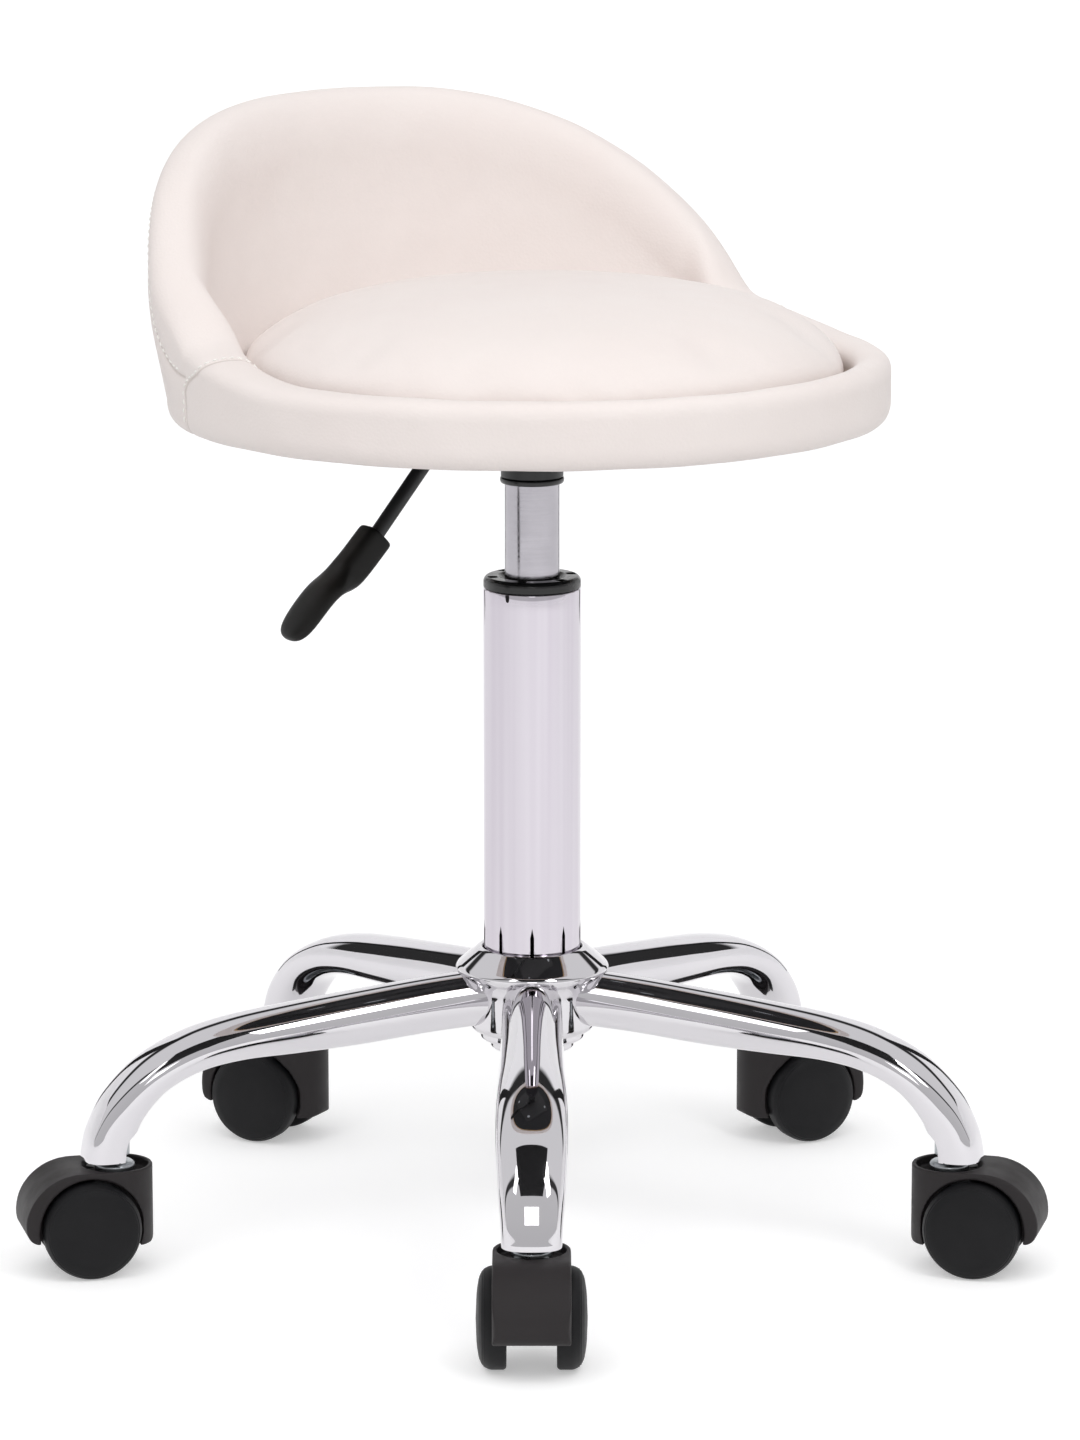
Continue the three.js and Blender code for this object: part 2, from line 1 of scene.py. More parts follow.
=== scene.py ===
"""Rolling stylist stool: the finished surfaces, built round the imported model.

Each sub-assembly is a class with its sizes in millimetres. A Place puts its local frame into
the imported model's frame, in metres. Surfaces are grids of points worked out with numpy.
"""

import json
import logging
import math
from dataclasses import dataclass, field
from enum import Enum

import bmesh
import bpy
import numpy as np
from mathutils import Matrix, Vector


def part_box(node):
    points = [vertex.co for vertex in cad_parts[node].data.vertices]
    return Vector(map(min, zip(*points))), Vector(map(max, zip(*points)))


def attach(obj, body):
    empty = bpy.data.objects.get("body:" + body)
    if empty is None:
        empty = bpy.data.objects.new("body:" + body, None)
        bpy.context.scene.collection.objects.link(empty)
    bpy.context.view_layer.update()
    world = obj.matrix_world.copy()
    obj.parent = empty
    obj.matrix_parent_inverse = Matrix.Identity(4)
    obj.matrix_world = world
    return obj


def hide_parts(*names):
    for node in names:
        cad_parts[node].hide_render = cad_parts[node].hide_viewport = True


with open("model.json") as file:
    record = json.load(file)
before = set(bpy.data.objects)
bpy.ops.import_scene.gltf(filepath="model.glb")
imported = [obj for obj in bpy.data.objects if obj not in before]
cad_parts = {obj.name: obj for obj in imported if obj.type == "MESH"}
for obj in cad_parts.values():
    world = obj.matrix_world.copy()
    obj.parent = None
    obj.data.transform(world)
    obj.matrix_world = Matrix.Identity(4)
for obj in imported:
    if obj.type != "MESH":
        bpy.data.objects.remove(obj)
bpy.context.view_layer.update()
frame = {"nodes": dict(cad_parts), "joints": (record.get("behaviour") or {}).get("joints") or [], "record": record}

LOG = logging.getLogger("stool")
MM = 0.001
Array = np.ndarray
Socket = bpy.types.NodeSocket
ROWS_JOIN = (True, False)
COLUMNS_JOIN = (False, True)
BOTH_JOIN = (True, True)


# ---- places ---------------------------------------------------------------------------------


@dataclass(frozen=True)
class Place:
    """A local frame: its origin on the floor, in metres, and its turn about +Z, in radians."""

    x: float
    y: float
    turn: float

    def put(self, points: Array) -> Array:
        """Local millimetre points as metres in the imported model's frame.

        Each point is turned by the angle about +Z, scaled to metres and moved to the origin.

        Args:
            points: an array whose last axis is x, y, z in millimetres.

        Returns:
            An array of the same shape, in metres.
        """
        c, s = math.cos(self.turn), math.sin(self.turn)
        x = points[..., 0] * c - points[..., 1] * s
        y = points[..., 0] * s + points[..., 1] * c
        origin = np.array([self.x, self.y, 0.0])
        return np.stack([x, y, points[..., 2]], -1) * MM + origin


def joint(name: str) -> dict:
    """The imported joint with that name."""
    return next(j for j in frame["joints"] if j["name"] == name)


def column_xy() -> tuple[float, float]:
    """The column axis in metres: the middle of the outer tube's box."""
    low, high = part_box("column_tube")
    return (low.x + high.x) / 2, (low.y + high.y) / 2


def seat_place() -> Place:
    """The seat's frame: its own +Y points to the back, and the lever's pivot lies along it."""
    axis = joint("lever_pull")["axis"]
    return Place(*column_xy(), math.atan2(-axis[0], axis[1]))


def leg_place(number: int) -> Place:
    """A leg's frame: at the column, with +X out along the leg to its caster stem.

    Args:
        number: the leg, from 1 to 5.

    Returns:
        The place.
    """
    x, y = column_xy()
    stem = joint(f"caster_swivel_{number}")["pos_m"]
    return Place(x, y, math.atan2(stem[1] - y, stem[0] - x))


def caster_place(number: int) -> Place:
    """A caster's frame: at its stem, with +X the way that it trails and +Y along the axle.

    Args:
        number: the caster, from 1 to 5.

    Returns:
        The place.
    """
    stem = joint(f"caster_swivel_{number}")["pos_m"]
    axis = joint(f"wheel_spin_{number}_left")["axis"]
    return Place(stem[0], stem[1], math.atan2(-axis[0], axis[1]))


# ---- meshes ---------------------------------------------------------------------------------


def grid_faces(rows: int, cols: int, wrap_rows: bool, wrap_cols: bool) -> Array:
    """Quads of a grid of points: each joins a point to the next column and the next row.

    Args:
        rows: number of rows of points.
        cols: number of points in a row.
        wrap_rows: whether the last row joins the first.
        wrap_cols: whether the last column joins the first.

    Returns:
        An array of quads, as indices into the flattened grid.
    """
    r = np.arange(rows if wrap_rows else rows - 1)
    c = np.arange(cols if wrap_cols else cols - 1)
    r, c = np.meshgrid(r, c, indexing="ij")
    below, beside = (r + 1) % rows, (c + 1) % cols
    quads = [r * cols + c, r * cols + beside, below * cols + beside, below * cols + c]
    return np.stack(quads, -1).reshape(-1, 4)


def walled_faces(rows: int, cols: int, slit: Array) -> Array:
    """Quads of a sheet with thickness: two like grids, one after the other, joined at their edges.

    Args:
        rows: number of rows of points in each grid.
        cols: number of points in a row.
        slit: rows after which the first and the last column are joined across the thickness.

    Returns:
        An array of quads, as indices into both flattened grids.
    """
    size = rows * cols
    skin = grid_faces(rows, cols, False, False)
    edges = []
    for column in (0, cols - 1):
        edges.append((slit * cols + column, (slit + 1) * cols + column))
    for row in (0, rows - 1):
        start = row * cols + np.arange(cols - 1)
        edges.append((start, start + 1))
    walls = [np.stack([a, b, b + size, a + size], 1) for a, b in edges]
    return np.concatenate([skin, skin + size, *walls])


def weld(mesh: bpy.types.Mesh, distance: float = 1e-6) -> None:
    """Merges points that coincide and turns the faces outwards.

    Args:
        mesh: the mesh, changed in place.
        distance: points nearer to each other than this, in metres, merge.
    """
    work = bmesh.new()
    work.from_mesh(mesh)
    bmesh.ops.remove_doubles(work, verts=work.verts, dist=distance)
    bmesh.ops.recalc_face_normals(work, faces=work.faces)
    work.to_mesh(mesh)
    work.free()


def new_piece(
    name: str, points: Array, faces: Array, finish: bpy.types.Material, sharp: float = 35.0
) -> bpy.types.Object:
    """A welded mesh object at the origin, smooth but for edges sharper than an angle.

    Args:
        name: the piece's name.
        points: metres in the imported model's frame, last axis x, y, z.
        faces: quads or triangles, as indices into the flattened points.
        finish: the material.
        sharp: edges sharper than this many degrees stay crisp.

    Returns:
        The object, linked to the scene.
    """
    mesh = bpy.data.meshes.new(name)
    mesh.from_pydata(points.reshape(-1, 3).tolist(), [], faces.tolist())
    weld(mesh)
    mesh.shade_smooth()
    mesh.set_sharp_from_angle(angle=math.radians(sharp))
    mesh.materials.append(finish)
    made = bpy.data.objects.new(name, mesh)
    bpy.context.scene.collection.objects.link(made)
    return made


def settled(made: bpy.types.Object, sharp: float | None = None) -> bpy.types.Object:
    """Applies a piece's modifiers to its mesh.

    Args:
        made: the piece.
        sharp: edges sharper than this many degrees become crisp, if given.

    Returns:
        The same piece, with no modifiers left.
    """
    depsgraph = bpy.context.evaluated_depsgraph_get()
    mesh = bpy.data.meshes.new_from_object(made.evaluated_get(depsgraph))
    made.modifiers.clear()
    made.data = mesh
    if sharp is not None:
        mesh.shade_smooth()
        mesh.set_sharp_from_angle(angle=math.radians(sharp))
    return made


def installed(made: bpy.types.Object, body: str, slot: str, *nodes: str) -> bpy.types.Object:
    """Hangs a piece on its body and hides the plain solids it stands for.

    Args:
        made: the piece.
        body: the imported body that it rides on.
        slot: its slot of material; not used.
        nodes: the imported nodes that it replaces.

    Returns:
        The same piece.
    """
    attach(made, body)
    if nodes:
        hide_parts(*nodes)
    LOG.info("%s: %d faces, rides on %s", made.name, len(made.data.polygons), body)
    return made


def vertex_array(mesh: bpy.types.Mesh) -> Array:
    """A mesh's points as an array.

    Args:
        mesh: the mesh.

    Returns:
        An array (n, 3), in metres.
    """
    flat = np.zeros(len(mesh.vertices) * 3)
    mesh.vertices.foreach_get("co", flat)
    return flat.reshape(-1, 3)


def set_vertices(mesh: bpy.types.Mesh, points: Array) -> None:
    """Moves a mesh's points."""
    mesh.vertices.foreach_set("co", points.reshape(-1))
    mesh.update()


def smoothstep(value: Array | float, low: float, high: float) -> Array:
    """0 below low and 1 above high, with an S curve 3t^2 - 2t^3 between."""
    t = np.clip((np.asarray(value, float) - low) / (high - low), 0.0, 1.0)
    return t * t * (3 - 2 * t)


def softened(profile: list[tuple[float, float, float]], steps: int = 4) -> Array:
    """Rounds the corners of a profile.

    A corner with radius c is cut back by c along both sides (at most 45% of a side), and the
    cut is filled with the curve (1-t)^2 a + 2t(1-t) corner + t^2 b.

    Args:
        profile: corners as (radius, height, corner radius).
        steps: spans in each rounded corner.

    Returns:
        An array of (radius, height) points.
    """
    points = np.array([p[:2] for p in profile], float)
    out = [points[:1]]
    t = np.linspace(0, 1, steps + 1)[:, None]
    for before, here, after, spec in zip(points, points[1:], points[2:], profile[1:]):
        back, ahead = before - here, after - here
        reach = min(spec[2], 0.45 * np.hypot(*back), 0.45 * np.hypot(*ahead))
        if reach <= 0:
            out.append(here[None])
            continue
        a = here + back / np.hypot(*back) * reach
        b = here + ahead / np.hypot(*ahead) * reach
        out.append((1 - t) ** 2 * a + 2 * t * (1 - t) * here + t * t * b)
    out.append(points[-1:])
    return np.concatenate(out)


def spline(table: Array, share: Array) -> Array:
    """Points of a Catmull-Rom curve through a table's rows.

    Between rows p1 and p2, with t the share of the way, the curve is
    (2 p1 + (p2-p0) t + (2 p0 - 5 p1 + 4 p2 - p3) t^2 + (3 p1 - p0 - 3 p2 + p3) t^3) / 2.

    Args:
        table: rows (n, k) to pass through.
        share: shares (m,) of the way from the first row to the last.

    Returns:
        An array (m, k).
    """
    table = np.asarray(table, float)
    table = np.array([2 * table[0] - table[1], *table, 2 * table[-1] - table[-2]])
    spot = np.clip(share, 0, 1) * (len(table) - 3)
    i = np.minimum(spot.astype(int), len(table) - 4)
    t = (spot - i)[:, None]
    p0, p1, p2, p3 = (table[i + k] for k in range(4))
    square = (2 * p0 - 5 * p1 + 4 * p2 - p3) * t**2
    cube = (3 * p1 - p0 - 3 * p2 + p3) * t**3
    return 0.5 * (2 * p1 + (p2 - p0) * t + square + cube)


def bowed(value: Array, power: Array | float) -> Array:
    """A cosine or sine made fuller: its size raised to a power, with its sign kept."""
    return np.sign(value) * np.abs(value) ** power


def turned(profile: Array, sides: int) -> Array:
    """Carries a (radius, height) profile round the Z axis: (r cos a, r sin a, z).

    Args:
        profile: an array of (radius, height) points.
        sides: number of steps round the axis.

    Returns:
        A grid of points, one row for each step.
    """
    angle = 2 * math.pi * np.arange(sides)[:, None] / sides
    r, z = profile[None, :, 0], profile[None, :, 1]
    return np.stack([r * np.cos(angle), r * np.sin(angle), z + 0 * angle], -1)


def swept(path: Array, radius: Array | float, sides: int = 24) -> Array:
    """A round tube along a path in a plane of constant y, with both ends closed to a point.

    At each path point the ring is point + r (cos a Y + sin a N), where N is the path's normal.

    Args:
        path: points (n, 3) in millimetres, in one plane of constant y.
        radius: one radius, or one for each point.
        sides: points in a ring.

    Returns:
        A grid of points, with a row of coincident points at each end.
    """
    along = np.gradient(path, axis=0)
    along /= np.linalg.norm(along, axis=1, keepdims=True)
    across = np.array([0.0, 1.0, 0.0])
    out = np.cross(along, across)
    angle = 2 * math.pi * np.arange(sides) / sides
    r = np.broadcast_to(np.asarray(radius, float), (len(path),))[:, None, None]
    ring = np.cos(angle)[None, :, None] * across + np.sin(angle)[None, :, None] * out[:, None]
    rings = path[:, None] + r * ring
    caps = [np.repeat(path[i][None, None], sides, 1) for i in (0, -1)]
    return np.concatenate([caps[0], rings, caps[1]])


# ---- finishes -------------------------------------------------------------------------------


def to_linear(code: str) -> tuple[float, float, float, float]:
    """An sRGB hex colour as linear light.

    A share v of full scale becomes v / 12.92 up to 0.04045, and ((v + 0.055) / 1.055)^2.4 above.

    Args:
        code: six hex digits.

    Returns:
        Red, green, blue and alpha 1.
    """
    parts = [int(code[i : i + 2], 16) / 255 for i in (0, 2, 4)]
    line = [v / 12.92 if v <= 0.04045 else ((v + 0.055) / 1.055) ** 2.4 for v in parts]
    return (*line, 1.0)


def add_node(tree: bpy.types.NodeTree, kind: str, settings: dict, links: dict) -> bpy.types.Node:
    """Adds a node to a tree.

    Args:
        tree: the material's or the world's nodes.
        kind: the node's type name, without its ShaderNode prefix.
        settings: sockets (by name or index) and properties (by name) to set.
        links: sockets (by name or index) and the outputs that feed them.

    Returns:
        The node.
    """
    node = tree.nodes.new("ShaderNode" + kind)
    for key, value in settings.items():
        if isinstance(key, str) and hasattr(node, key):
            setattr(node, key, value)
    for key, value in settings.items():
        if not (isinstance(key, str) and hasattr(node, key)):
            node.inputs[key].default_value = value
    for key, output in links.items():
        tree.links.new(output, node.inputs[key])
    return node


class Sheet:
    """A material being made up: its shader, and the relief that is on it so far."""

    def __init__(self, name: str) -> None:
        """Makes the material, with its shader and its object coordinates.

        Args:
            name: the material's name.
        """
        self.material = bpy.data.materials.new(name)
        self.material.use_nodes = True
        self.tree = self.material.node_tree
        self.shader = self.tree.nodes["Principled BSDF"]
        self.coords = self.tree.nodes.new("ShaderNodeTexCoord").outputs["Object"]
        self.relief: Socket | None = None

    def add(self, kind: str, settings: dict, links: dict) -> bpy.types.Node:
        """Adds a node to the material."""
        return add_node(self.tree, kind, settings, links)

    def set(self, values: dict[str, float | tuple]) -> None:
        """Gives the shader's sockets their values."""
        for socket, value in values.items():
            self.shader.inputs[socket].default_value = value

    def feed(self, socket: str, output: Socket) -> None:
        """Links an output to one of the shader's sockets."""
        self.tree.links.new(output, self.shader.inputs[socket])

    def lumps(
        self, size_mm: float, detail: float = 2.0, stretch: tuple[float, float, float] = (1, 1, 1)
    ) -> Socket:
        """A noise pattern.

        Args:
            size_mm: how far across its lumps are, about.
            detail: how many times finer lumps are added.
            stretch: under 1 along an axis, it draws the lumps out along that axis.

        Returns:
            The pattern, from 0 to 1.
        """
        at = self.add("Mapping", {"Scale": stretch}, {"Vector": self.coords}).outputs[0]
        settings = {"Scale": 1 / (size_mm * MM), "Detail": detail, "Roughness": 0.55}
        return self.add("TexNoise", settings, {"Vector": at}).outputs["Fac"]

    def tint(self, pattern: Socket, colour: str, shade: str) -> Socket:
        """Colours the surface by a pattern.

        Args:
            pattern: 0 where the colour lies and 1 where the shade does.
            colour: an sRGB hex colour.
            shade: another.

        Returns:
            The blended colour.
        """
        settings = {"data_type": "RGBA", 6: to_linear(colour), 7: to_linear(shade)}
        blend = self.add("Mix", settings, {0: pattern}).outputs[2]
        self.feed("Base Color", blend)
        return blend

    def polish(self, pattern: Socket, low: float, high: float) -> None:
        """Varies the roughness by a pattern, most of which lies between 0.3 and 0.7.

        Args:
            pattern: the pattern.
            low: the roughness where it is 0.3.
            high: the roughness where it is 0.7.
        """
        settings = {"From Min": 0.3, "From Max": 0.7, "To Min": low, "To Max": high}
        self.feed("Roughness", self.add("MapRange", settings, {"Value": pattern}).outputs[0])

    def emboss(self, pattern: Socket, depth_mm: float) -> None:
        """Lays a relief of a real depth over what is there already.

        Args:
            pattern: the height, as a share of the depth.
            depth_mm: the depth.
        """
        links = {"Height": pattern}
        if self.relief is not None:
            links["Normal"] = self.relief
        settings = {"Strength": 1.0, "Distance": depth_mm * MM}
        self.relief = self.add("Bump", settings, links).outputs[0]
        self.feed("Normal", self.relief)


@dataclass(frozen=True)
class Finish:
    """A surface: the two colours it lies between, its roughness and whether it is metal."""

    name: str
    colour: str
    shade: str
    roughness: float
    metallic: float = 0.0

    def sheet(self) -> Sheet:
        """The material, with its even values on the shader.

        Returns:
            A sheet to lay patterns on.
        """
        made = Sheet(self.name)
        colour = to_linear(self.colour)
        made.set({"Metallic": self.metallic, "Base Color": colour, "Roughness": self.roughness})
        return made


@dataclass(frozen=True)
class SyntheticLeather(Finish):
    """Polyurethane-coated cloth, embossed with a fine pebble grain and wiped matte.

    The eye sees a soft broad highlight, tiny pebbles and faint broad unevenness from the foam.
    """

    grain_mm: float = 1.5          # real grain is near 0.8 mm, drawn coarser so that it shows
    grain_depth_mm: float = 0.08
    pore_mm: float = 0.5
    pore_depth_mm: float = 0.03
    foam_mm: float = 26.0
    foam_depth_mm: float = 0.9
    tone_mm: float = 60.0
    wiped_mm: float = 18.0
    seams: bool = False
    crease_mm: float = 1.1
    crease_depth_mm: float = 0.4
    # painted shade: the colour that the cover darkens to beside its seams
    crease_colour: str = "D5CAC4"

    def build(self) -> bpy.types.Material:
        """The material; with seams, a sunk crease, darkened with painted shade, follows the seam attributes.

        Returns:
            The material.
        """
        s = self.sheet()
        s.set({"Sheen Weight": 0.06, "Sheen Roughness": 0.5, "Specular IOR Level": 0.42})
        pebbles = s.add("TexVoronoi", {"Scale": 1 / (self.grain_mm * MM)}, {"Vector": s.coords})
        s.emboss(pebbles.outputs["Distance"], self.grain_depth_mm)
        s.emboss(s.lumps(self.pore_mm, 3), self.pore_depth_mm)
        s.emboss(s.lumps(self.foam_mm, 1), self.foam_depth_mm)
        colour = s.tint(s.lumps(self.tone_mm), self.colour, self.shade)
        s.polish(s.lumps(self.wiped_mm), self.roughness - 0.05, self.roughness + 0.06)
        if self.seams:
            self.crease(s, colour)
        return s.material

    def crease(self, s: Sheet, colour: Socket) -> None:
        """Sinks the cover beside the nearer of two seams, and darkens its colour there: painted shade in the
        crease.

        Each seam has an attribute that holds the distance to it, in millimetres.

        Args:
            s: the leather's sheet.
            colour: the colour away from the seams.
        """
        away = []
        for name in ("seam_edge", "seam_side"):
            distance = s.add("Attribute", {"attribute_name": name}, {}).outputs["Fac"]
            away.append(s.add("Math", {"operation": "ABSOLUTE"}, {0: distance}).outputs[0])
        nearer = s.add("Math", {"operation": "MINIMUM"}, dict(enumerate(away))).outputs[0]
        settings = {"From Min": 0.0, "From Max": self.crease_mm, "To Min": 1.0, "To Max": 0.0}
        fold_and_shade = s.add("MapRange", settings, {"Value": nearer}).outputs[0]
        raised = s.add("Math", {"operation": "SUBTRACT", 0: 1.0}, {1: fold_and_shade}).outputs[0]
        s.emboss(raised, self.crease_depth_mm)
        # painted shade: near the seams the colour darkens to the crease's shade colour
        settings = {"data_type": "RGBA", 7: to_linear(self.crease_colour)}
        s.feed("Base Color", s.add("Mix", settings, {0: fold_and_shade, 6: colour}).outputs[2])


@dataclass(frozen=True)
class Thread(Finish):
    """Bonded polyester sewing thread: pale, slightly lustrous, twisted."""

    tone_mm: float = 0.8
    twist_mm: float = 0.3
    twist_depth_mm: float = 0.05

    def build(self) -> bpy.types.Material:
        """The material.

        Returns:
            The material.
        """
        s = self.sheet()
        s.tint(s.lumps(self.tone_mm), self.colour, self.shade)
        s.emboss(s.lumps(self.twist_mm, 1), self.twist_depth_mm)
        return s.material


@dataclass(frozen=True)
class ChromePlate(Finish):
    """Bright nickel-chrome plate on polished steel tube: a mirror with faint polish waves.

    On drawn tube the stretch is small along Z, so that the tint lies in faint lengthwise lines: painted reflection
    streaks, like the dark lines that the surroundings draw on the tube.
    """

    # size of the tint's lumps; stretched along Z on the drawn tube, they become painted reflection streaks
    mottle_mm: float = 70.0
    stretch: tuple[float, float, float] = (1, 1, 1)
    haze_mm: float = 9.0
    wave_mm: float = 22.0
    wave_depth_mm: float = 0.05

    def build(self) -> bpy.types.Material:
        """The material.

        Returns:
            The material.
        """
        s = self.sheet()
        # on the drawn tube this tint paints reflection streaks along its length
        s.tint(s.lumps(self.mottle_mm, 1, self.stretch), self.colour, self.shade)
        s.polish(s.lumps(self.haze_mm, 4), self.roughness, self.roughness + 0.03)
        s.emboss(s.lumps(self.wave_mm, 0), self.wave_depth_mm)
        return s.material


@dataclass(frozen=True)
class GroundSteel(Finish):
    """Centreless-ground and polished rod: fine marks run round it, which spread highlights."""

    marks_mm: float = 0.5          # real marks are finer, drawn so that they show
    marks_depth_mm: float = 0.006
    drawn_round: tuple[float, float, float] = (0.02, 0.02, 1)
    tone_mm: float = 12.0

    def build(self) -> bpy.types.Material:
        """The material.

        Returns:
            The material.
        """
        s = self.sheet()
        marks = s.lumps(self.marks_mm, 2, self.drawn_round)
        s.tint(s.lumps(self.tone_mm, 3), self.colour, self.shade)
        s.polish(marks, self.roughness - 0.05, self.roughness + 0.08)
        s.emboss(marks, self.marks_depth_mm)
        return s.material


@dataclass(frozen=True)
class MouldedPlastic(Finish):
    """Injection-moulded nylon or ABS: the tool's texture, and faint flow marks in the gloss."""

    grain_mm: float = 0.6
    grain_depth_mm: float = 0.03
    gloss: float = 0.5
    tone_mm: float = 25.0
    flow_mm: float = 14.0

    def build(self) -> bpy.types.Material:
        """The material.

        Returns:
            The material.
        """
        s = self.sheet()
        s.set({"Specular IOR Level": self.gloss})
        s.tint(s.lumps(self.tone_mm), self.colour, self.shade)
        s.polish(s.lumps(self.flow_mm, 3), self.roughness - 0.05, self.roughness + 0.06)
        s.emboss(s.lumps(self.grain_mm), self.grain_depth_mm)
        return s.material


@dataclass(frozen=True)
class CoatedSteel(Finish):
    """Baked powder coat or zinc plate on pressed steel: fine orange peel and mottled gloss."""

    peel_mm: float = 2.2
    peel_depth_mm: float = 0.04
    tone_mm: float = 8.0
    mottle_mm: float = 5.0

    def build(self) -> bpy.types.Material:
        """The material.

        Returns:
            The material.
        """
        s = self.sheet()
        s.tint(s.lumps(self.tone_mm, 3), self.colour, self.shade)
        s.polish(s.lumps(self.mottle_mm, 3), self.roughness - 0.06, self.roughness + 0.08)
        s.emboss(s.lumps(self.peel_mm, 1), self.peel_depth_mm)
        return s.material


@dataclass(frozen=True)
class Plywood(Finish):
    """Rotary-cut birch veneer: long pale figure along one way, and a dry matt surface."""

    figure_mm: float = 6.0
    figure_depth_mm: float = 0.06
    drawn_along: tuple[float, float, float] = (0.08, 1, 1)

    def build(self) -> bpy.types.Material:
        """The material.

        Returns:
            The material.
        """
        s = self.sheet()
        figure = s.lumps(self.figure_mm, 4, self.drawn_along)
        s.tint(figure, self.colour, self.shade)
        s.emboss(figure, self.figure_depth_mm)
        return s.material


@dataclass(frozen=True)
class NonWovenCloth(Finish):
    """Spun-bonded dust cloth: pressed fibres with small weld dots in rows."""

    dot_mm: float = 2.4
    dot_depth_mm: float = 0.12
    tone_mm: float = 1.2
    fibre_mm: float = 0.7
    fibre_depth_mm: float = 0.1

    def build(self) -> bpy.types.Material:
        """The material.

        Returns:
            The material.
        """
        s = self.sheet()
        settings = {"Scale": 1 / (self.dot_mm * MM), "Randomness": 0.1}
        dots = s.add("TexVoronoi", settings, {"Vector": s.coords}).outputs["Distance"]
        s.tint(s.lumps(self.tone_mm, 4), self.colour, self.shade)
        s.emboss(dots, self.dot_depth_mm)
        s.emboss(s.lumps(self.fibre_mm, 4), self.fibre_depth_mm)
        return s.material


class Kind(Enum):
    """The stool's finishes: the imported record's slots, and some for single pieces."""

    LEATHER = SyntheticLeather("ivory_synthetic_leather", "ECE4E0", "E9DFDB", 0.5)
    # seamed leather: its seams are sunk, with painted shade beside them
    SEAMED = SyntheticLeather("ivory_leather_seamed", "ECE4E0", "E9DFDB", 0.5, seams=True)
    THREAD = Thread("white_polyester_thread", "FBFAF6", "EFECE6", 0.55)
    PLYWOOD = Plywood("birch_plywood", "CFAF82", "B98F5E", 0.75)
    BLACK_CLOTH = NonWovenCloth("black_dust_cloth", "1D1D1F", "2A2A2C", 0.95)
    BLACK_STEEL = CoatedSteel("black_powder_coat", "151516", "1D1D1F", 0.42)
    ZINC_STEEL = CoatedSteel(
        "zinc_plate", "B9BDC0", "A7ACB0", 0.32, 1.0, peel_mm=1.0, peel_depth_mm=0.01
    )
    SATIN_STEEL = GroundSteel("ground_steel", "BCB9BF", "A9A6AC", 0.17, 1.0)
    CHROME = ChromePlate("bright_chrome", "D9D7DA", "D2D0D4", 0.02, 1.0)
    # its darker lengthwise tint lines are painted reflection streaks
    DRAWN_CHROME = ChromePlate(
        "drawn_chrome_painted_streaks", "D3CFD5", "C2BBC5", 0.02, 1.0, mottle_mm=5.0, stretch=(1, 1, 0.01)
    )
    BLACK_PLASTIC = MouldedPlastic(
        "black_abs", "0B0B0C", "101011", 0.22, grain_mm=0.8, grain_depth_mm=0.01
    )
    GRIP_PLASTIC = MouldedPlastic(
        "black_grip", "100F0E", "151413", 0.42, grain_mm=0.5, grain_depth_mm=0.02, gloss=0.2
    )
    NYLON = MouldedPlastic("black_nylon", "111113", "161618", 0.5, gloss=0.22)
    HOOD_NYLON = MouldedPlastic("black_hood_nylon", "282526", "2E2B2C", 0.5, gloss=0.22)
    RUBBER = MouldedPlastic("black_rubber", "1C1C1D", "242425", 0.8)


class Palette:
    """Builds each finish once."""

    def __init__(self) -> None:
        """Starts with no finish built."""
        self.made: dict[Kind, bpy.types.Material] = {}

    def get(self, kind: Kind) -> bpy.types.Material:
        """The material of a finish, built when it is first asked for.

        Args:
            kind: the finish.

        Returns:
            The material.
        """
        if kind not in self.made:
            self.made[kind] = kind.value.build()
        return self.made[kind]

    def dress_frame(self) -> None:
        """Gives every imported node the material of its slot."""
        for row in frame["record"]["subparts"]:
            node = frame["nodes"][row["node"]]
            node.data.materials.clear()
            node.data.materials.append(self.get(Kind[row["material_slot"].upper()]))


@dataclass
class Assembly:
    """What the sub-assemblies share: their finishes, and how a surface becomes a piece."""

    palette: Palette

    def shaped(
        self, name: str, points: Array, kind: Kind, joins: tuple[bool, bool], sharp: float = 40.0
    ) -> bpy.types.Object:
        """A piece from a grid of points.

        Args:
            name: the piece's name.
            points: the grid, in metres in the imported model's frame.
            kind: the finish.
            joins: whether the last row joins the first, and the last column the first.
            sharp: edges sharper than this many degrees stay crisp.

        Returns:
            The piece.
        """
        faces = grid_faces(*points.shape[:2], *joins)
        return new_piece(name, points, faces, self.palette.get(kind), sharp)

    def lathed(
        self,
        name: str,
        place: Place,
        profile: list[tuple[float, float, float]],
        kind: Kind,
        sides: int = 96,
        sharp: float = 35.0,
    ) -> bpy.types.Object:
        """A piece turned about its frame's axis.

        Args:
            name: the piece's name.
            place: its frame.
            profile: corners as (radius, height, corner radius), in millimetres, either from
                axis to axis or back to the first corner.
            kind: the finish.
            sides: number of steps round the axis.
            sharp: edges sharper than this many degrees stay crisp.

        Returns:
            The piece.
        """
        points = place.put(turned(softened(profile), sides))
        return self.shaped(name, points, kind, ROWS_JOIN, sharp)


# ---- upholstery -----------------------------------------------------------------------------


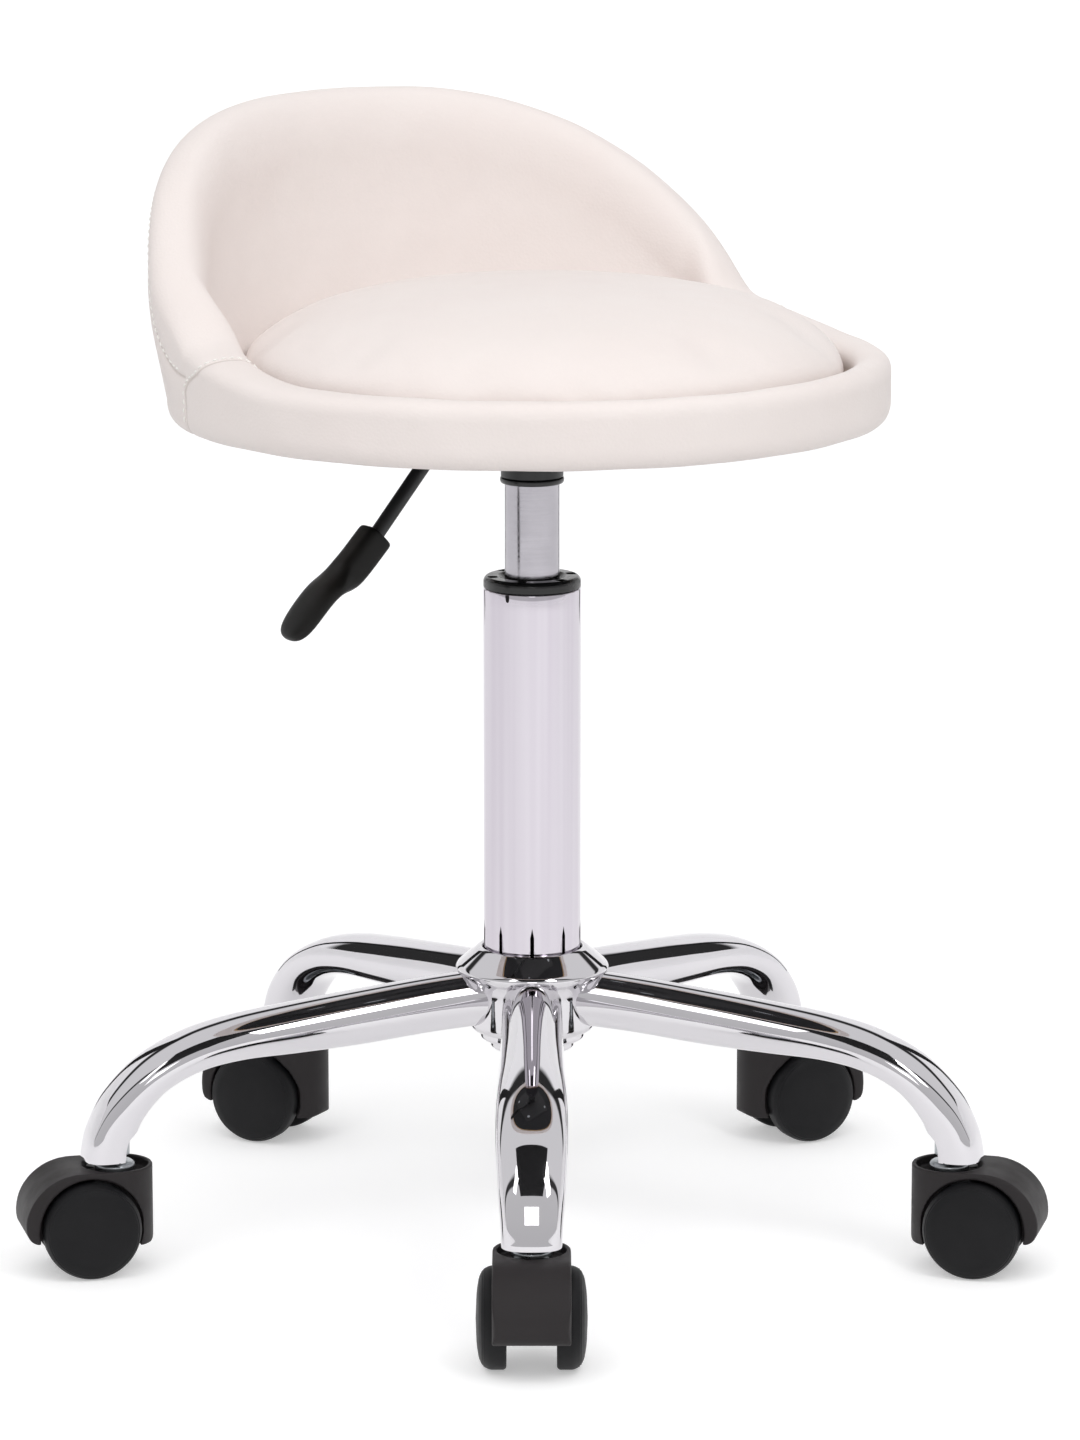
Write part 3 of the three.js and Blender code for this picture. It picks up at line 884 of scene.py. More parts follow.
@dataclass
class SeatShell(Assembly):
    """The rim and the low wrap-around back, sewn as one cover. Angles run from the back's middle."""

    place: Place
    bottom: float = 426.6
    outer_r: float = 182.9
    outer_y: float = 2.6
    well_r: float = 155.5
    well_y: float = -10.0
    rim_top: float = 459.8
    back_rise: float = 118.1
    half_angle: float = 77.7
    fullness: float = 2.76
    back_from: tuple = (9.0, 50.0)     # rises over the rim where the back begins and is full
    flare: tuple = (8.4, 63.0)         # how far the back leans out, over what height
    back_thickness: float = 30.0
    edge: tuple = (6.5, 10.4)          # the lower edge's half axes
    edge_bow: float = 0.8
    shoulder: tuple = (14.7, 62.0, 105.0)   # its height, and the angles over which it falls
    shoulder_blend: float = 60.0       # square millimetres; larger eases wing into shoulder more
    rim_roll: float = 9.5              # depth of the rolled top
    back_roll: float = 5.5             # how much deeper it is on the back
    inner_roll: float = 20.0           # the back's top rolls this much further down inside
    roll_bow: float = 0.88
    hollow: float = 1.8
    well_lip: float = 4.0              # the back's hollow starts this far under the rim
    seam_drop: float = 14.0            # the long seam lies this far under the top edge
    seam_end: float = 456.0            # height where it meets the rim's seams
    seam_fall: tuple = (53.0, 76.0)    # angles over which it drops there
    side_seam: tuple = (76.0, 84.0, 87.0)   # angles at the foot, over the top and at the well
    seam_sink: tuple = (0.6, 2.2, 0.4, 2.6)   # depth and width: the long seam, a side seam
    puff: tuple = (0.5, 8.0, 5.0)      # the cover's swell beside the long seam: height, at, width
    stitch_pitch: float = 4.4
    stitch_length: float = 3.2
    stitch_r: float = 0.48
    stitch_away: float = 2.6           # the thread runs this far from its seam
    steps_round: int = 560
    spans: dict = field(
        default_factory=lambda: {"floor": 14, "edge": 14, "out": 44, "roll": 36, "inner": 48}
    )

    def rise(self, angle: Array) -> Array:
        """Height of the top over the rim: a steep back, eased into a low shoulder.

        The back is 118 (1 - (|a|/78)^2.76) and the shoulder an S curve. With s and t the two, the
        height is (s + t + sqrt((s - t)^2 + blend)) / 2, which is a rounded greater of them.

        Args:
            angle: angles from the back's middle, in radians.

        Returns:
            Heights in millimetres.
        """
        turn = np.degrees(np.abs(angle))
        steep = self.back_rise * (1 - (turn / self.half_angle) ** self.fullness)
        height, start, end = self.shoulder
        low = height * (1 - smoothstep(turn, start, end))
        return 0.5 * (steep + low + np.sqrt((steep - low) ** 2 + self.shoulder_blend))

    def reach(self, radius: float, y: float, angle: Array) -> Array:
        """Distance from the column to a circle whose centre is set back by y."""
        return y * np.cos(angle) + np.sqrt(radius**2 - (y * np.sin(angle)) ** 2)

    def section(self, angle: Array) -> Array:
        """The shell's section at each angle, as (radius, height), from the well's foot round.

        It runs out along the bottom, round an elliptical edge, up the outer wall (which leans
        out by a quarter sine wave), over a rolled top (a superellipse, deeper on the inside)
        and down the inner wall. With s the share of the way up that wall, it stands at
        well + (top - well) (1 - (1 - s)^1.8), which hollows the back like a bowl.

        Args:
            angle: angles (n,) from the back's middle, in radians.

        Returns:
            An array (n, m, 2).
        """
        a = np.asarray(angle, float)[:, None]
        rise = self.rise(a)
        back = smoothstep(rise, *self.back_from)
        outer = self.reach(self.outer_r, self.outer_y, a)
        inner = self.reach(self.well_r, self.well_y, a)
        roll = self.rim_roll + self.back_roll * back
        shoulder = self.rim_top + rise - roll
        across, height = self.edge
        start = self.bottom + height

        def wall(z: Array) -> Array:
            """The outer wall's radius at a height."""
            share = np.clip((z - start) / self.flare[1], 0, 1)
            return outer + back * self.flare[0] * np.sin(math.pi / 2 * share)

        top_out = wall(shoulder)
        top_in = inner + back * (top_out - self.back_thickness - inner)
        t = {k: np.linspace(0, 1, n, endpoint=False)[None] for k, n in self.spans.items()}
        floor_r = inner + (outer - across - inner) * t["floor"]
        floor_z = self.bottom + 0 * floor_r
        turn = t["edge"] * math.pi / 2
        edge_r = outer - across + across * np.sin(turn) ** self.edge_bow
        edge_z = start - height * np.cos(turn) + 0 * a
        out_z = start + (shoulder - start) * t["out"]
        sweep = t["roll"] * math.pi
        half = (top_out - top_in) / 2
        roll_r = top_in + half + half * bowed(np.cos(sweep), self.roll_bow)
        depth = np.where(sweep < math.pi / 2, roll, roll + self.inner_roll * back)
        roll_z = shoulder + roll - depth * (1 - np.sin(sweep) ** self.roll_bow)
        lip = shoulder - self.inner_roll * back
        in_z = lip + (self.bottom - lip) * t["inner"] ** 1.15
        foot = self.rim_top - self.well_lip
        share = np.clip((in_z - foot) / (lip + 1 - foot), 0, 1)
        in_r = inner + (top_in - inner) * (1 - (1 - share) ** self.hollow)
        r = np.concatenate([floor_r, edge_r, wall(out_z), roll_r, in_r], 1)
        z = np.concatenate([floor_z, edge_z, out_z, roll_z, in_z], 1)
        return np.stack([r, z], -1)

    def span_start(self, name: str) -> int:
        """The first column of a part of the section."""
        names = list(self.spans)
        return sum(self.spans[n] for n in names[: names.index(name)])

    def lengths(self, section: Array) -> Array:
        """Distance along each section from its first point.

        Args:
            section: sections (n, m, 2).

        Returns:
            Distances (n, m).
        """
        steps = np.linalg.norm(np.diff(section, axis=1), axis=2)
        return np.concatenate([np.zeros((len(section), 1)), np.cumsum(steps, 1)], 1)

    def seam_length(self, angle: Array) -> Array:
        """How far along the section the long seam lies, at each angle.

        It keeps a drop under the top edge, then falls in an S curve to meet the rim's seams.

        Args:
            angle: angles (n,) from the back's middle, in radians.

        Returns:
            Distances (n,) from the section's first point.
        """
        section = self.section(angle)
        along = self.lengths(section)
        first = self.span_start("edge")
        last = self.span_start("roll") + self.spans["roll"] // 2
        under = self.rim_top + self.rise(angle) - self.seam_drop
        fall = smoothstep(np.degrees(np.abs(angle)), *self.seam_fall)
        height = under + (self.seam_end - under) * fall
        return np.array([
            np.interp(h, section[i, first:last, 1], along[i, first:last])
            for i, h in enumerate(height)
        ])

    def side_seam_angle(self) -> Array:
        """The side seam's angle: up the outside, then forward over the rim.

        It turns by one S curve from foot to crest and by another from crest to well.

        Returns:
            Angles in radians, one for each column of the section.
        """
        column = np.arange(sum(self.spans.values()))
        bend = self.span_start("out") + 18
        crest = self.span_start("roll") + 18
        well = self.span_start("inner") + 12
        foot, over, end = self.side_seam
        turn = foot + (over - foot) * smoothstep(column, bend, crest)
        return np.radians(turn + (end - over) * smoothstep(column, crest, well))

    def xyz(self, angle: Array, section: Array) -> Array:
        """Section points as x, y, z: (-r sin a, r cos a, z).

        Args:
            angle: one angle for each section, in radians.
            section: points as (radius, height).

        Returns:
            The points, in millimetres in the seat's frame.
        """
        a = angle.reshape(-1, *([1] * (section.ndim - 2)))
        r, z = section[..., 0], section[..., 1]
        return np.stack([-r * np.sin(a), r * np.cos(a), z], -1)

    def build(self) -> bpy.types.Object:
        """Builds the cover, with its seams sunk, and the stitching beside them.

        A seam at distance d sinks the surface by depth exp(-(d/width)^2). Beside the long seam it
        swells by height exp(-((|d| - at)/width)^2).

        Returns:
            The cover.
        """
        angle = 2 * math.pi * np.arange(self.steps_round) / self.steps_round - math.pi
        section = self.section(angle)
        along = self.lengths(section)
        seam = self.seam_length(angle)
        slope = np.gradient(seam, angle * self.outer_r)
        edge = (along - seam[:, None]) / np.sqrt(1 + slope[:, None] ** 2)
        edge[np.abs(angle) > math.radians(self.side_seam[0])] = 40.0
        lean = np.gradient(self.side_seam_angle()) * self.outer_r / np.gradient(along, axis=1)
        side = (np.abs(angle)[:, None] - self.side_seam_angle()[None]) * section[..., 0]
        side = side / np.sqrt(1 + lean**2)
        deep, wide, side_deep, side_wide = self.seam_sink
        sunk = deep * np.exp(-((edge / wide) ** 2)) + side_deep * np.exp(-((side / side_wide) ** 2))
        height, away, spread = self.puff
        puffed = height * np.exp(-(((np.abs(edge) - away) / spread) ** 2))
        points = self.xyz(angle, section)
        points = points - self.outward(points) * (sunk - puffed)[..., None]
        points += self.outward(points) * self.ripple(angle, section)[..., None]
        made = self.shaped("seat_cover", self.place.put(points), Kind.SEAMED, BOTH_JOIN, 75.0)
        self.mark(made.data, {"seam_edge": edge, "seam_side": side})
        installed(made, "seat", "leather", "back_and_rim")
        self.stitches()
        return made

    def mark(self, mesh: bpy.types.Mesh, fields: dict[str, Array]) -> None:
        """Stores the distance to each seam, in millimetres, on the mesh's points.

        Args:
            mesh: the cover's mesh.
            fields: the name of each attribute and its values on the grid.
        """
        for name, values in fields.items():
            stored = mesh.attributes.new(name, "FLOAT", "POINT")
            stored.data.foreach_set("value", values.astype(np.float32).reshape(-1))

    def outward(self, points: Array) -> Array:
        """Unit normals of a grid that wraps both ways, from its neighbours' differences.

        Args:
            points: the grid of points.

        Returns:
            Normals of the same shape, away from the seat.
        """
        du = np.roll(points, -1, 0) - np.roll(points, 1, 0)
        dv = np.roll(points, -1, 1) - np.roll(points, 1, 1)
        normal = np.cross(du, dv)
        normal /= np.maximum(np.linalg.norm(normal, axis=-1, keepdims=True), 1e-9)
        middle = self.span_start("out") + 5
        facing = points[:, middle, :2] * normal[:, middle, :2]
        return normal * np.sign(facing.sum())

    def ripple(self, angle: Array, section: Array) -> Array:
        """Slack in the cover: slow waves of about a quarter of a millimetre.

        0.2 sin(11 a + z/17) sin(5 a - z/29 + 1.3) + 0.08 sin(23 a + z/9 + 0.6).

        Args:
            angle: angles (n,) in radians.
            section: sections (n, m, 2).

        Returns:
            Heights (n, m) in millimetres.
        """
        a, z = angle[:, None], section[..., 1]
        wave = np.sin(11 * a + z / 17) * np.sin(5 * a - z / 29 + 1.3)
        return 0.2 * wave + 0.08 * np.sin(23 * a + z / 9 + 0.6)

    def stitches(self) -> bpy.types.Object:
        """Top-stitching: short capsules of thread beside each seam, dipping at their ends.

        Returns:
            The stitching, as one piece.
        """
        limit = math.radians(self.side_seam[0] - 1)
        angle = np.linspace(-limit, limit, 1200)
        section = self.section(angle)
        along = self.lengths(section)
        seam = self.seam_length(angle) + self.stitch_away
        line = [
            [np.interp(s, along[i], section[i, :, k]) for k in (0, 1)] for i, s in enumerate(seam)
        ]
        sides_of_rim = [self.side_stitch_line(sign) for sign in (-1, 1)]
        bars = [self.bars(row) for row in (self.xyz(angle, np.array(line)), *sides_of_rim)]
        points = np.concatenate([b.reshape(-1, 3) for b in bars])
        count, rings, sides = sum(len(b) for b in bars), *bars[0].shape[1:3]
        one = grid_faces(rings, sides, False, True)
        faces = (np.arange(count)[:, None, None] * rings * sides + one[None]).reshape(-1, 4)
        finish = self.palette.get(Kind.THREAD)
        made = new_piece("top_stitching", self.place.put(points), faces, finish, 180.0)
        return installed(made, "seat", "leather")

    def side_stitch_line(self, sign: int) -> Array:
        """Points beside a side seam, up the outside and over the rim to the well.

        Args:
            sign: 1 for the seam towards -X and -1 for the one towards +X.

        Returns:
            Points (n, 3) in millimetres.
        """
        columns = np.arange(self.span_start("edge") + 8, self.span_start("inner") + 8)
        angle = sign * (self.side_seam_angle()[columns] - self.stitch_away / self.outer_r)
        section = self.section(angle)
        picked = section[np.arange(len(columns)), columns]
        return self.xyz(angle, picked)

    def bars(self, line: Array) -> Array:
        """Stitches along a line: a grid of rings for each, spaced by the pitch.

        A stitch's ring at share t of its length stands at centre + d (t - 1/2) length, with
        radius r (1 - (2t-1)^4)^(1/2), and stands 0.15 - 0.6 (2t-1)^2 over the surface.

        Args:
            line: points (n, 3) to follow, in millimetres.

        Returns:
            A grid (stitches, rings, sides, 3).
        """
        steps = np.linalg.norm(np.diff(line, axis=0), axis=1)
        run = np.concatenate([[0], np.cumsum(steps)])
        centres = np.arange(self.stitch_pitch, run[-1] - self.stitch_pitch, self.stitch_pitch)
        centre = np.stack([np.interp(centres, run, line[:, k]) for k in range(3)], 1)
        ahead = np.stack([np.interp(centres + 0.5, run, line[:, k]) for k in range(3)], 1)
        d = ahead - centre
        d /= np.linalg.norm(d, axis=1, keepdims=True)
        middle = np.array([0.0, 0.0, self.rim_top - 12.0])
        out = centre - middle
        out[:, 2] = np.clip(out[:, 2] * 0.4, -40, 160)
        out -= d * (out * d).sum(1, keepdims=True)
        out /= np.linalg.norm(out, axis=1, keepdims=True)
        across = np.cross(d, out)
        t = np.linspace(0, 1, 7)
        reach = self.stitch_r * np.sqrt(np.maximum(1 - (2 * t - 1) ** 4, 0))
        angle = 2 * math.pi * np.arange(8) / 8
        c, s = np.cos(angle)[None, :, None], np.sin(angle)[None, :, None]
        ring = c * across[:, None] + s * out[:, None]
        spine = centre[:, None] + d[:, None] * ((t - 0.5) * self.stitch_length)[None, :, None]
        sink = (0.15 - 0.6 * (2 * t - 1) ** 2)[None, :, None] * out[:, None]
        return (spine + sink)[:, :, None] + reach[None, :, None, None] * ring[:, None]


@dataclass
class SeatCushion(Assembly):
    """The round domed cushion in the well: foam under a stretched cover."""

    place: Place
    centre_y: float = -10.0
    radius: float = 153.8
    bottom: float = 442.6
    top: float = 493.0
    side_height: float = 16.0
    fullness: float = 2.7
    crown: float = 0.66
    voxel: float = 5.0
    swell_cap: float = 4.0
    swell_pressure: float = 4.0
    frames: int = 20

    def profile(self) -> Array:
        """The unswollen section: z = side + (top - side) (1 - (r/R)^2.7)^0.66, r in steps.

        Returns:
            Points (n, 2) as (radius, height), from the axis round to the axis.
        """
        r = self.radius * np.sin(np.linspace(0, 1, 48) * math.pi / 2)
        side = self.bottom + self.side_height
        dome = side + (self.top - side) * (1 - (r / self.radius) ** self.fullness) ** self.crown
        lower = [(0, self.bottom), (self.radius - 6, self.bottom), (self.radius, self.bottom + 5)]
        upper = np.stack([r, dome], 1)[::-1]
        return np.concatenate([np.array(lower, float), upper])

    def build(self) -> bpy.types.Object:
        """Builds the cushion: a turned form, remeshed, swollen as cloth and smoothed.

        Returns:
            The cushion.
        """
        grid = turned(self.profile(), 96)
        grid[..., 1] += self.centre_y
        made = self.shaped("round_cushion", self.place.put(grid), Kind.LEATHER, ROWS_JOIN, 180.0)
        remesh = made.modifiers.new("remesh", "REMESH")
        remesh.mode = "VOXEL"
        remesh.voxel_size = self.voxel * MM
        smooth = made.modifiers.new("smooth", "SMOOTH")
        smooth.iterations = 6
        settled(made)
        self.swell(made)
        ease = made.modifiers.new("ease", "SMOOTH")
        ease.iterations = 10
        subdivide = made.modifiers.new("subdivide", "SUBSURF")
        subdivide.levels = subdivide.render_levels = 1
        settled(made, 180.0)
        self.tidy(made.data)
        installed(made, "seat", "leather", "seat_cushion")
        return made

    def swell(self, made: bpy.types.Object) -> None:
        """Inflates the cover as cloth, held at its foot, and caps how far a point moves.

        A point that the cloth moves by d moves by cap tanh(d / cap).

        Args:
            made: the cushion, whose mesh is changed.
        """
        before = vertex_array(made.data)
        held = made.vertex_groups.new(name="held")
        foot = np.flatnonzero(before[:, 2] < (self.bottom + 6) * MM)
        held.add([int(i) for i in foot], 1.0, "REPLACE")
        cloth = made.modifiers.new("cloth", "CLOTH")
        cloth.settings.vertex_group_mass = "held"
        cloth.settings.quality = 5
        cloth.settings.mass = 0.3
        cloth.settings.use_pressure = True
        cloth.settings.uniform_pressure_force = self.swell_pressure
        cloth.settings.effector_weights.gravity = 0.0
        cloth.collision_settings.use_self_collision = False
        scene = bpy.context.scene
        for number in range(1, self.frames + 1):
            scene.frame_set(number)
        depsgraph = bpy.context.evaluated_depsgraph_get()
        after = vertex_array(made.evaluated_get(depsgraph).data)
        made.modifiers.clear()
        scene.frame_set(1)
        moved = after - before
        size = np.linalg.norm(moved, axis=1, keepdims=True)
        cap = self.swell_cap * MM
        moved *= np.where(size > 1e-9, cap * np.tanh(size / cap) / np.maximum(size, 1e-9), 0)
        set_vertices(made.data, before + moved)
        LOG.info("cushion swelled by up to %.1f mm", size.max() / MM)

    def tidy(self, mesh: bpy.types.Mesh) -> None:
        """Keeps the sides inside the well and the foot flat.

        Args:
            mesh: the cushion's mesh, changed in place.
        """
        points = vertex_array(mesh)
        hub = self.place.put(np.array([0.0, self.centre_y, 0.0]))
        flat = points[:, :2] - hub[:2]
        r = np.linalg.norm(flat, axis=1)
        limit = (self.radius + 1.2) * MM
        tight = np.where(r > limit, limit / np.maximum(r, 1e-9), 1.0)
        points[:, :2] = hub[:2] + flat * tight[:, None]
        points[:, 2] = np.maximum(points[:, 2], self.bottom * MM)
        set_vertices(mesh, points)


# ---- lever and column -----------------------------------------------------------------------


@dataclass
class Lever(Assembly):
    """The release lever: a bent rod in a moulded grip."""

    place: Place
    rod_r: float = 3.8
    height: float = 417.0
    bend_at: float = 58.0
    drop: float = 48.6
    end: float = 104.0
    grip_line: tuple = ((-94.6, 375.4), (-112.1, 358.2), (-128.2, 348.2), (-147.6, 327.8))
    sleeve_half: float = 7.8
    paddle_half_width: float = 12.0
    paddle_half_depth: float = 4.8

    def point(self, beyond: float) -> Array:
        """A point of the sloping end, a distance beyond the bend.

        Args:
            beyond: the distance.

        Returns:
            The point (3,), in millimetres.
        """
        slope = math.radians(self.drop)
        x = -self.bend_at - beyond * math.cos(slope)
        return np.array([x, 0.0, self.height - beyond * math.sin(slope)])

    def rod(self) -> bpy.types.Object:
        """The rod: straight, a quadratic bend and straight again, with rounded ends.

        Returns:
            The rod.
        """
        first = np.linspace([3.0, 0.0, self.height], [9.0 - self.bend_at, 0.0, self.height], 12)
        corner = np.array([-self.bend_at, 0.0, self.height])
        t = np.linspace(0, 1, 14)[1:-1, None]
        bend = (1 - t) ** 2 * first[-1] + 2 * t * (1 - t) * corner + t * t * self.point(9)
        reach = (self.end - self.bend_at) / math.cos(math.radians(self.drop))
        last = np.linspace(self.point(9), self.point(reach), 16)
        path = np.concatenate([first, bend, last])
        radius = np.full(len(path), self.rod_r)
        radius[[0, -1]] = self.rod_r - 0.6
        points = self.place.put(swept(path, radius, 28))
        made = self.shaped("release_rod", points, Kind.BLACK_STEEL, COLUMNS_JOIN, 50.0)
        return installed(made, "lever", "black_steel", "lever_rod")

    def grip(self) -> bpy.types.Object:
        """The grip: a square sleeve that jogs outwards and flattens to a thumb paddle.

        The ring at share t of the line is a superellipse, with half width, half depth and
        squareness eased from the sleeve to the paddle, and closed at the sleeve's end by
        (1 - |2t-1|^40)^(1/12) and at the paddle's by (1 - |2t-1|^8)^(1/2.4).

        Returns:
            The grip.
        """
        table = np.array([[x, 0.0, z] for x, z in self.grip_line])
        t = (1 - np.cos(np.linspace(0, 1, 110) * math.pi)) / 2
        line = spline(table, t)
        along = np.gradient(line, axis=0)
        along /= np.linalg.norm(along, axis=1, keepdims=True)
        across = np.array([0.0, 1.0, 0.0])
        out = np.cross(along, across)
        t = t[:, None]
        far = t * np.linalg.norm(np.diff(line, axis=0), axis=1).sum()
        flat = smoothstep(far, 22, 42)
        near_end = (1 - np.abs(2 * t - 1) ** 40) ** (1 / 12)
        far_end = (1 - np.abs(2 * t - 1) ** 8) ** (1 / 2.4)
        closing = np.where(t < 0.5, near_end, far_end)
        width = self.sleeve_half + (self.paddle_half_width - self.sleeve_half) * flat
        depth = self.sleeve_half + (self.paddle_half_depth - self.sleeve_half) * flat
        angle = 2 * math.pi * np.arange(64)[None] / 64
        power = 0.5 + 0.28 * flat
        side = bowed(np.cos(angle), power) * width * closing
        rise = bowed(np.sin(angle), power) * depth * closing
        grid = line[:, None] + side[..., None] * across + rise[..., None] * out[:, None]
        points = self.place.put(grid)
        made = self.shaped("release_grip", points, Kind.GRIP_PLASTIC, COLUMNS_JOIN, 50.0)
        return installed(made, "lever", "black_plastic", "lever_grip")

    def build(self) -> None:
        """Builds the rod and the grip."""
        self.rod()
        self.grip()


@dataclass
class GasColumn(Assembly):
    """The gas cylinder, its socket, and the chrome tube with its guide bushing."""

    seat: Place
    floor: Place
    tube_r: float = 25.0
    tube_wall: float = 1.5
    tube_top: float = 339.0
    tube_foot: float = 118.0
    slots: int = 9
    slot_half_width: float = 1.0
    slot_top: float = 166.0
    slot_foot: float = 146.5
    slot_point: float = 5.0
    bushing_slot: float = 1.6

    def cylinder(self) -> bpy.types.Object:
        """The sliding cylinder, with its taper in the socket and an open guide at its foot.

        Returns:
            The cylinder.
        """
        profile = [
            (0, 400, 0), (4, 400, 0), (4, 408.5, 0.4), (12.8, 408.5, 0.8), (13.3, 396, 0.3),
            (14, 394.5, 0.4), (14, 217, 0.8), (12.5, 215, 0.5), (5.4, 215, 0.2), (5.4, 225, 0),
            (12, 225, 0), (12, 397, 0), (0, 397, 0),
        ]
        made = self.lathed("lift_cylinder", self.seat, profile, Kind.SATIN_STEEL)
        return installed(made, "seat", "satin_steel", "gas_cylinder")

    def socket(self) -> None:
        """The welded socket under the seat plate, and the moulded collar at its mouth."""
        profile = [
            (13.6, 396, 0.2), (15.9, 396, 0.6), (15.9, 422.5, 0.5), (17.8, 424.2, 0.1),
            (13.1, 424.2, 0), (13.1, 409, 0.2), (13.6, 396, 0),
        ]
        made = self.lathed("taper_socket", self.seat, profile, Kind.BLACK_STEEL)
        installed(made, "seat", "black_steel", "plate_socket")
        profile = [
            (14.3, 392.8, 0.2), (15.9, 392.8, 0.8), (16.4, 394.4, 0.6), (16.2, 395.7, 0.5),
            (14.3, 395.7, 0.2), (14.3, 392.8, 0),
        ]
        made = self.lathed("mouth_collar", self.seat, profile, Kind.BLACK_PLASTIC)
        installed(made, "seat", "black_plastic", "socket_collar")

    def bushing(self) -> bpy.types.Object:
        """The guide ring: a band over the tube's end, with shallow slots in its sloping top.

        Every point of the top between two radii sinks by a depth, times an S curve of sin(6a)
        from 0.72 to 0.86, which leaves six short slots.

        Returns:
            The bushing.
        """
        profile = softened([
            (14.3, 263, 0), (23.2, 263, 1), (23.2, 339.3, 0), (24.9, 339.3, 0.3),
            (24.9, 343.2, 1.2), (23.4, 345, 0.8), (17.4, 345, 0.6), (14.3, 342.4, 0.5),
            (14.3, 263, 0),
        ], 5)
        index = np.arange(len(profile))
        cut = np.linspace(0, len(profile) - 1, 4 * len(profile) - 3)
        section = np.stack([np.interp(cut, index, profile[:, k]) for k in (0, 1)], 1)
        grid = turned(section, 360)
        angle = np.arctan2(grid[..., 1], grid[..., 0])
        r, z = np.hypot(grid[..., 0], grid[..., 1]), grid[..., 2]
        band = smoothstep(r, 18.6, 19.4) * (1 - smoothstep(r, 22.3, 23.0)) * (z > 343.5)
        lobes = smoothstep(np.sin(6 * angle), 0.72, 0.86)
        grid[..., 2] = z - self.bushing_slot * band * lobes
        made = self.shaped("guide_bushing", self.floor.put(grid), Kind.BLACK_PLASTIC, ROWS_JOIN)
        return installed(made, "base", "black_plastic", "tube_bushing")

    def slot_half_angle(self, z: Array) -> Array:
        """Half the angle that a slot opens at each height: straight sides and a pointed top.

        Args:
            z: heights in millimetres.

        Returns:
            Angles in radians, 0 above and below the slots.
        """
        share = np.clip((self.slot_top - z) / self.slot_point, 0, 1)
        inside = (z < self.slot_top) & (z >= self.slot_foot)
        return np.where(inside, self.slot_half_width * share / self.tube_r, 0.0)

    def tube(self) -> bpy.types.Object:
        """The outer tube, in staves between its slots.

        A stave's column c of n stands at the angle lerp(open, sector - open, c/n), where open
        is the slot's half angle at that height, so that neighbours meet above the slots.

        Returns:
            The tube.
        """
        z = np.unique(np.concatenate([
            [self.tube_foot, 130, 140, self.slot_foot - 0.01, self.slot_foot, 149, 152, 155],
            np.linspace(self.slot_top - 6, self.slot_top, 7), [168, 180, 220, 280, 330],
            self.tube_top - np.array([1.0, 0.6, 0.3, 0.1, 0.0]),
        ]))
        outer = np.interp(z, [self.tube_foot, 146, 152], [23.2, 24.4, self.tube_r])
        chamfer = np.interp(z, self.tube_top + np.array([-1.0, -0.6, -0.3, 0]), [0, 0.1, 0.3, 0.7])
        inner = outer - self.tube_wall
        sector = 2 * math.pi / self.slots
        open_at = self.slot_half_angle(z)
        share = np.linspace(0, 1, 25)[None, :]
        local = open_at[:, None] + (sector - 2 * open_at[:, None]) * share
        pieces, faces, count = [], [], 0
        rows, cols = local.shape
        size = rows * cols
        slot_rows = np.flatnonzero(open_at[:-1] + open_at[1:] > 0)
        stave = walled_faces(rows, cols, slot_rows)
        start = -math.pi / 2
        for i in range(self.slots):
            angle = start + local + sector * i
            for radius in (outer - chamfer, inner):
                r = radius[:, None]
                flat = [r * np.cos(angle), r * np.sin(angle), z[:, None] + 0 * angle]
                pieces.append(np.stack(flat, -1).reshape(-1, 3))
            faces.append(stave + count)
            count += 2 * size
        finish = self.palette.get(Kind.DRAWN_CHROME)
        points = self.floor.put(np.concatenate(pieces))
        made = new_piece("outer_tube", points, np.concatenate(faces), finish, 35.0)
        return installed(made, "base", "chrome", "column_tube")

    def build(self) -> None:
        """Builds the column from the top down."""
        self.cylinder()
        self.socket()
        self.bushing()
        self.tube()


# ---- base -----------------------------------------------------------------------------------


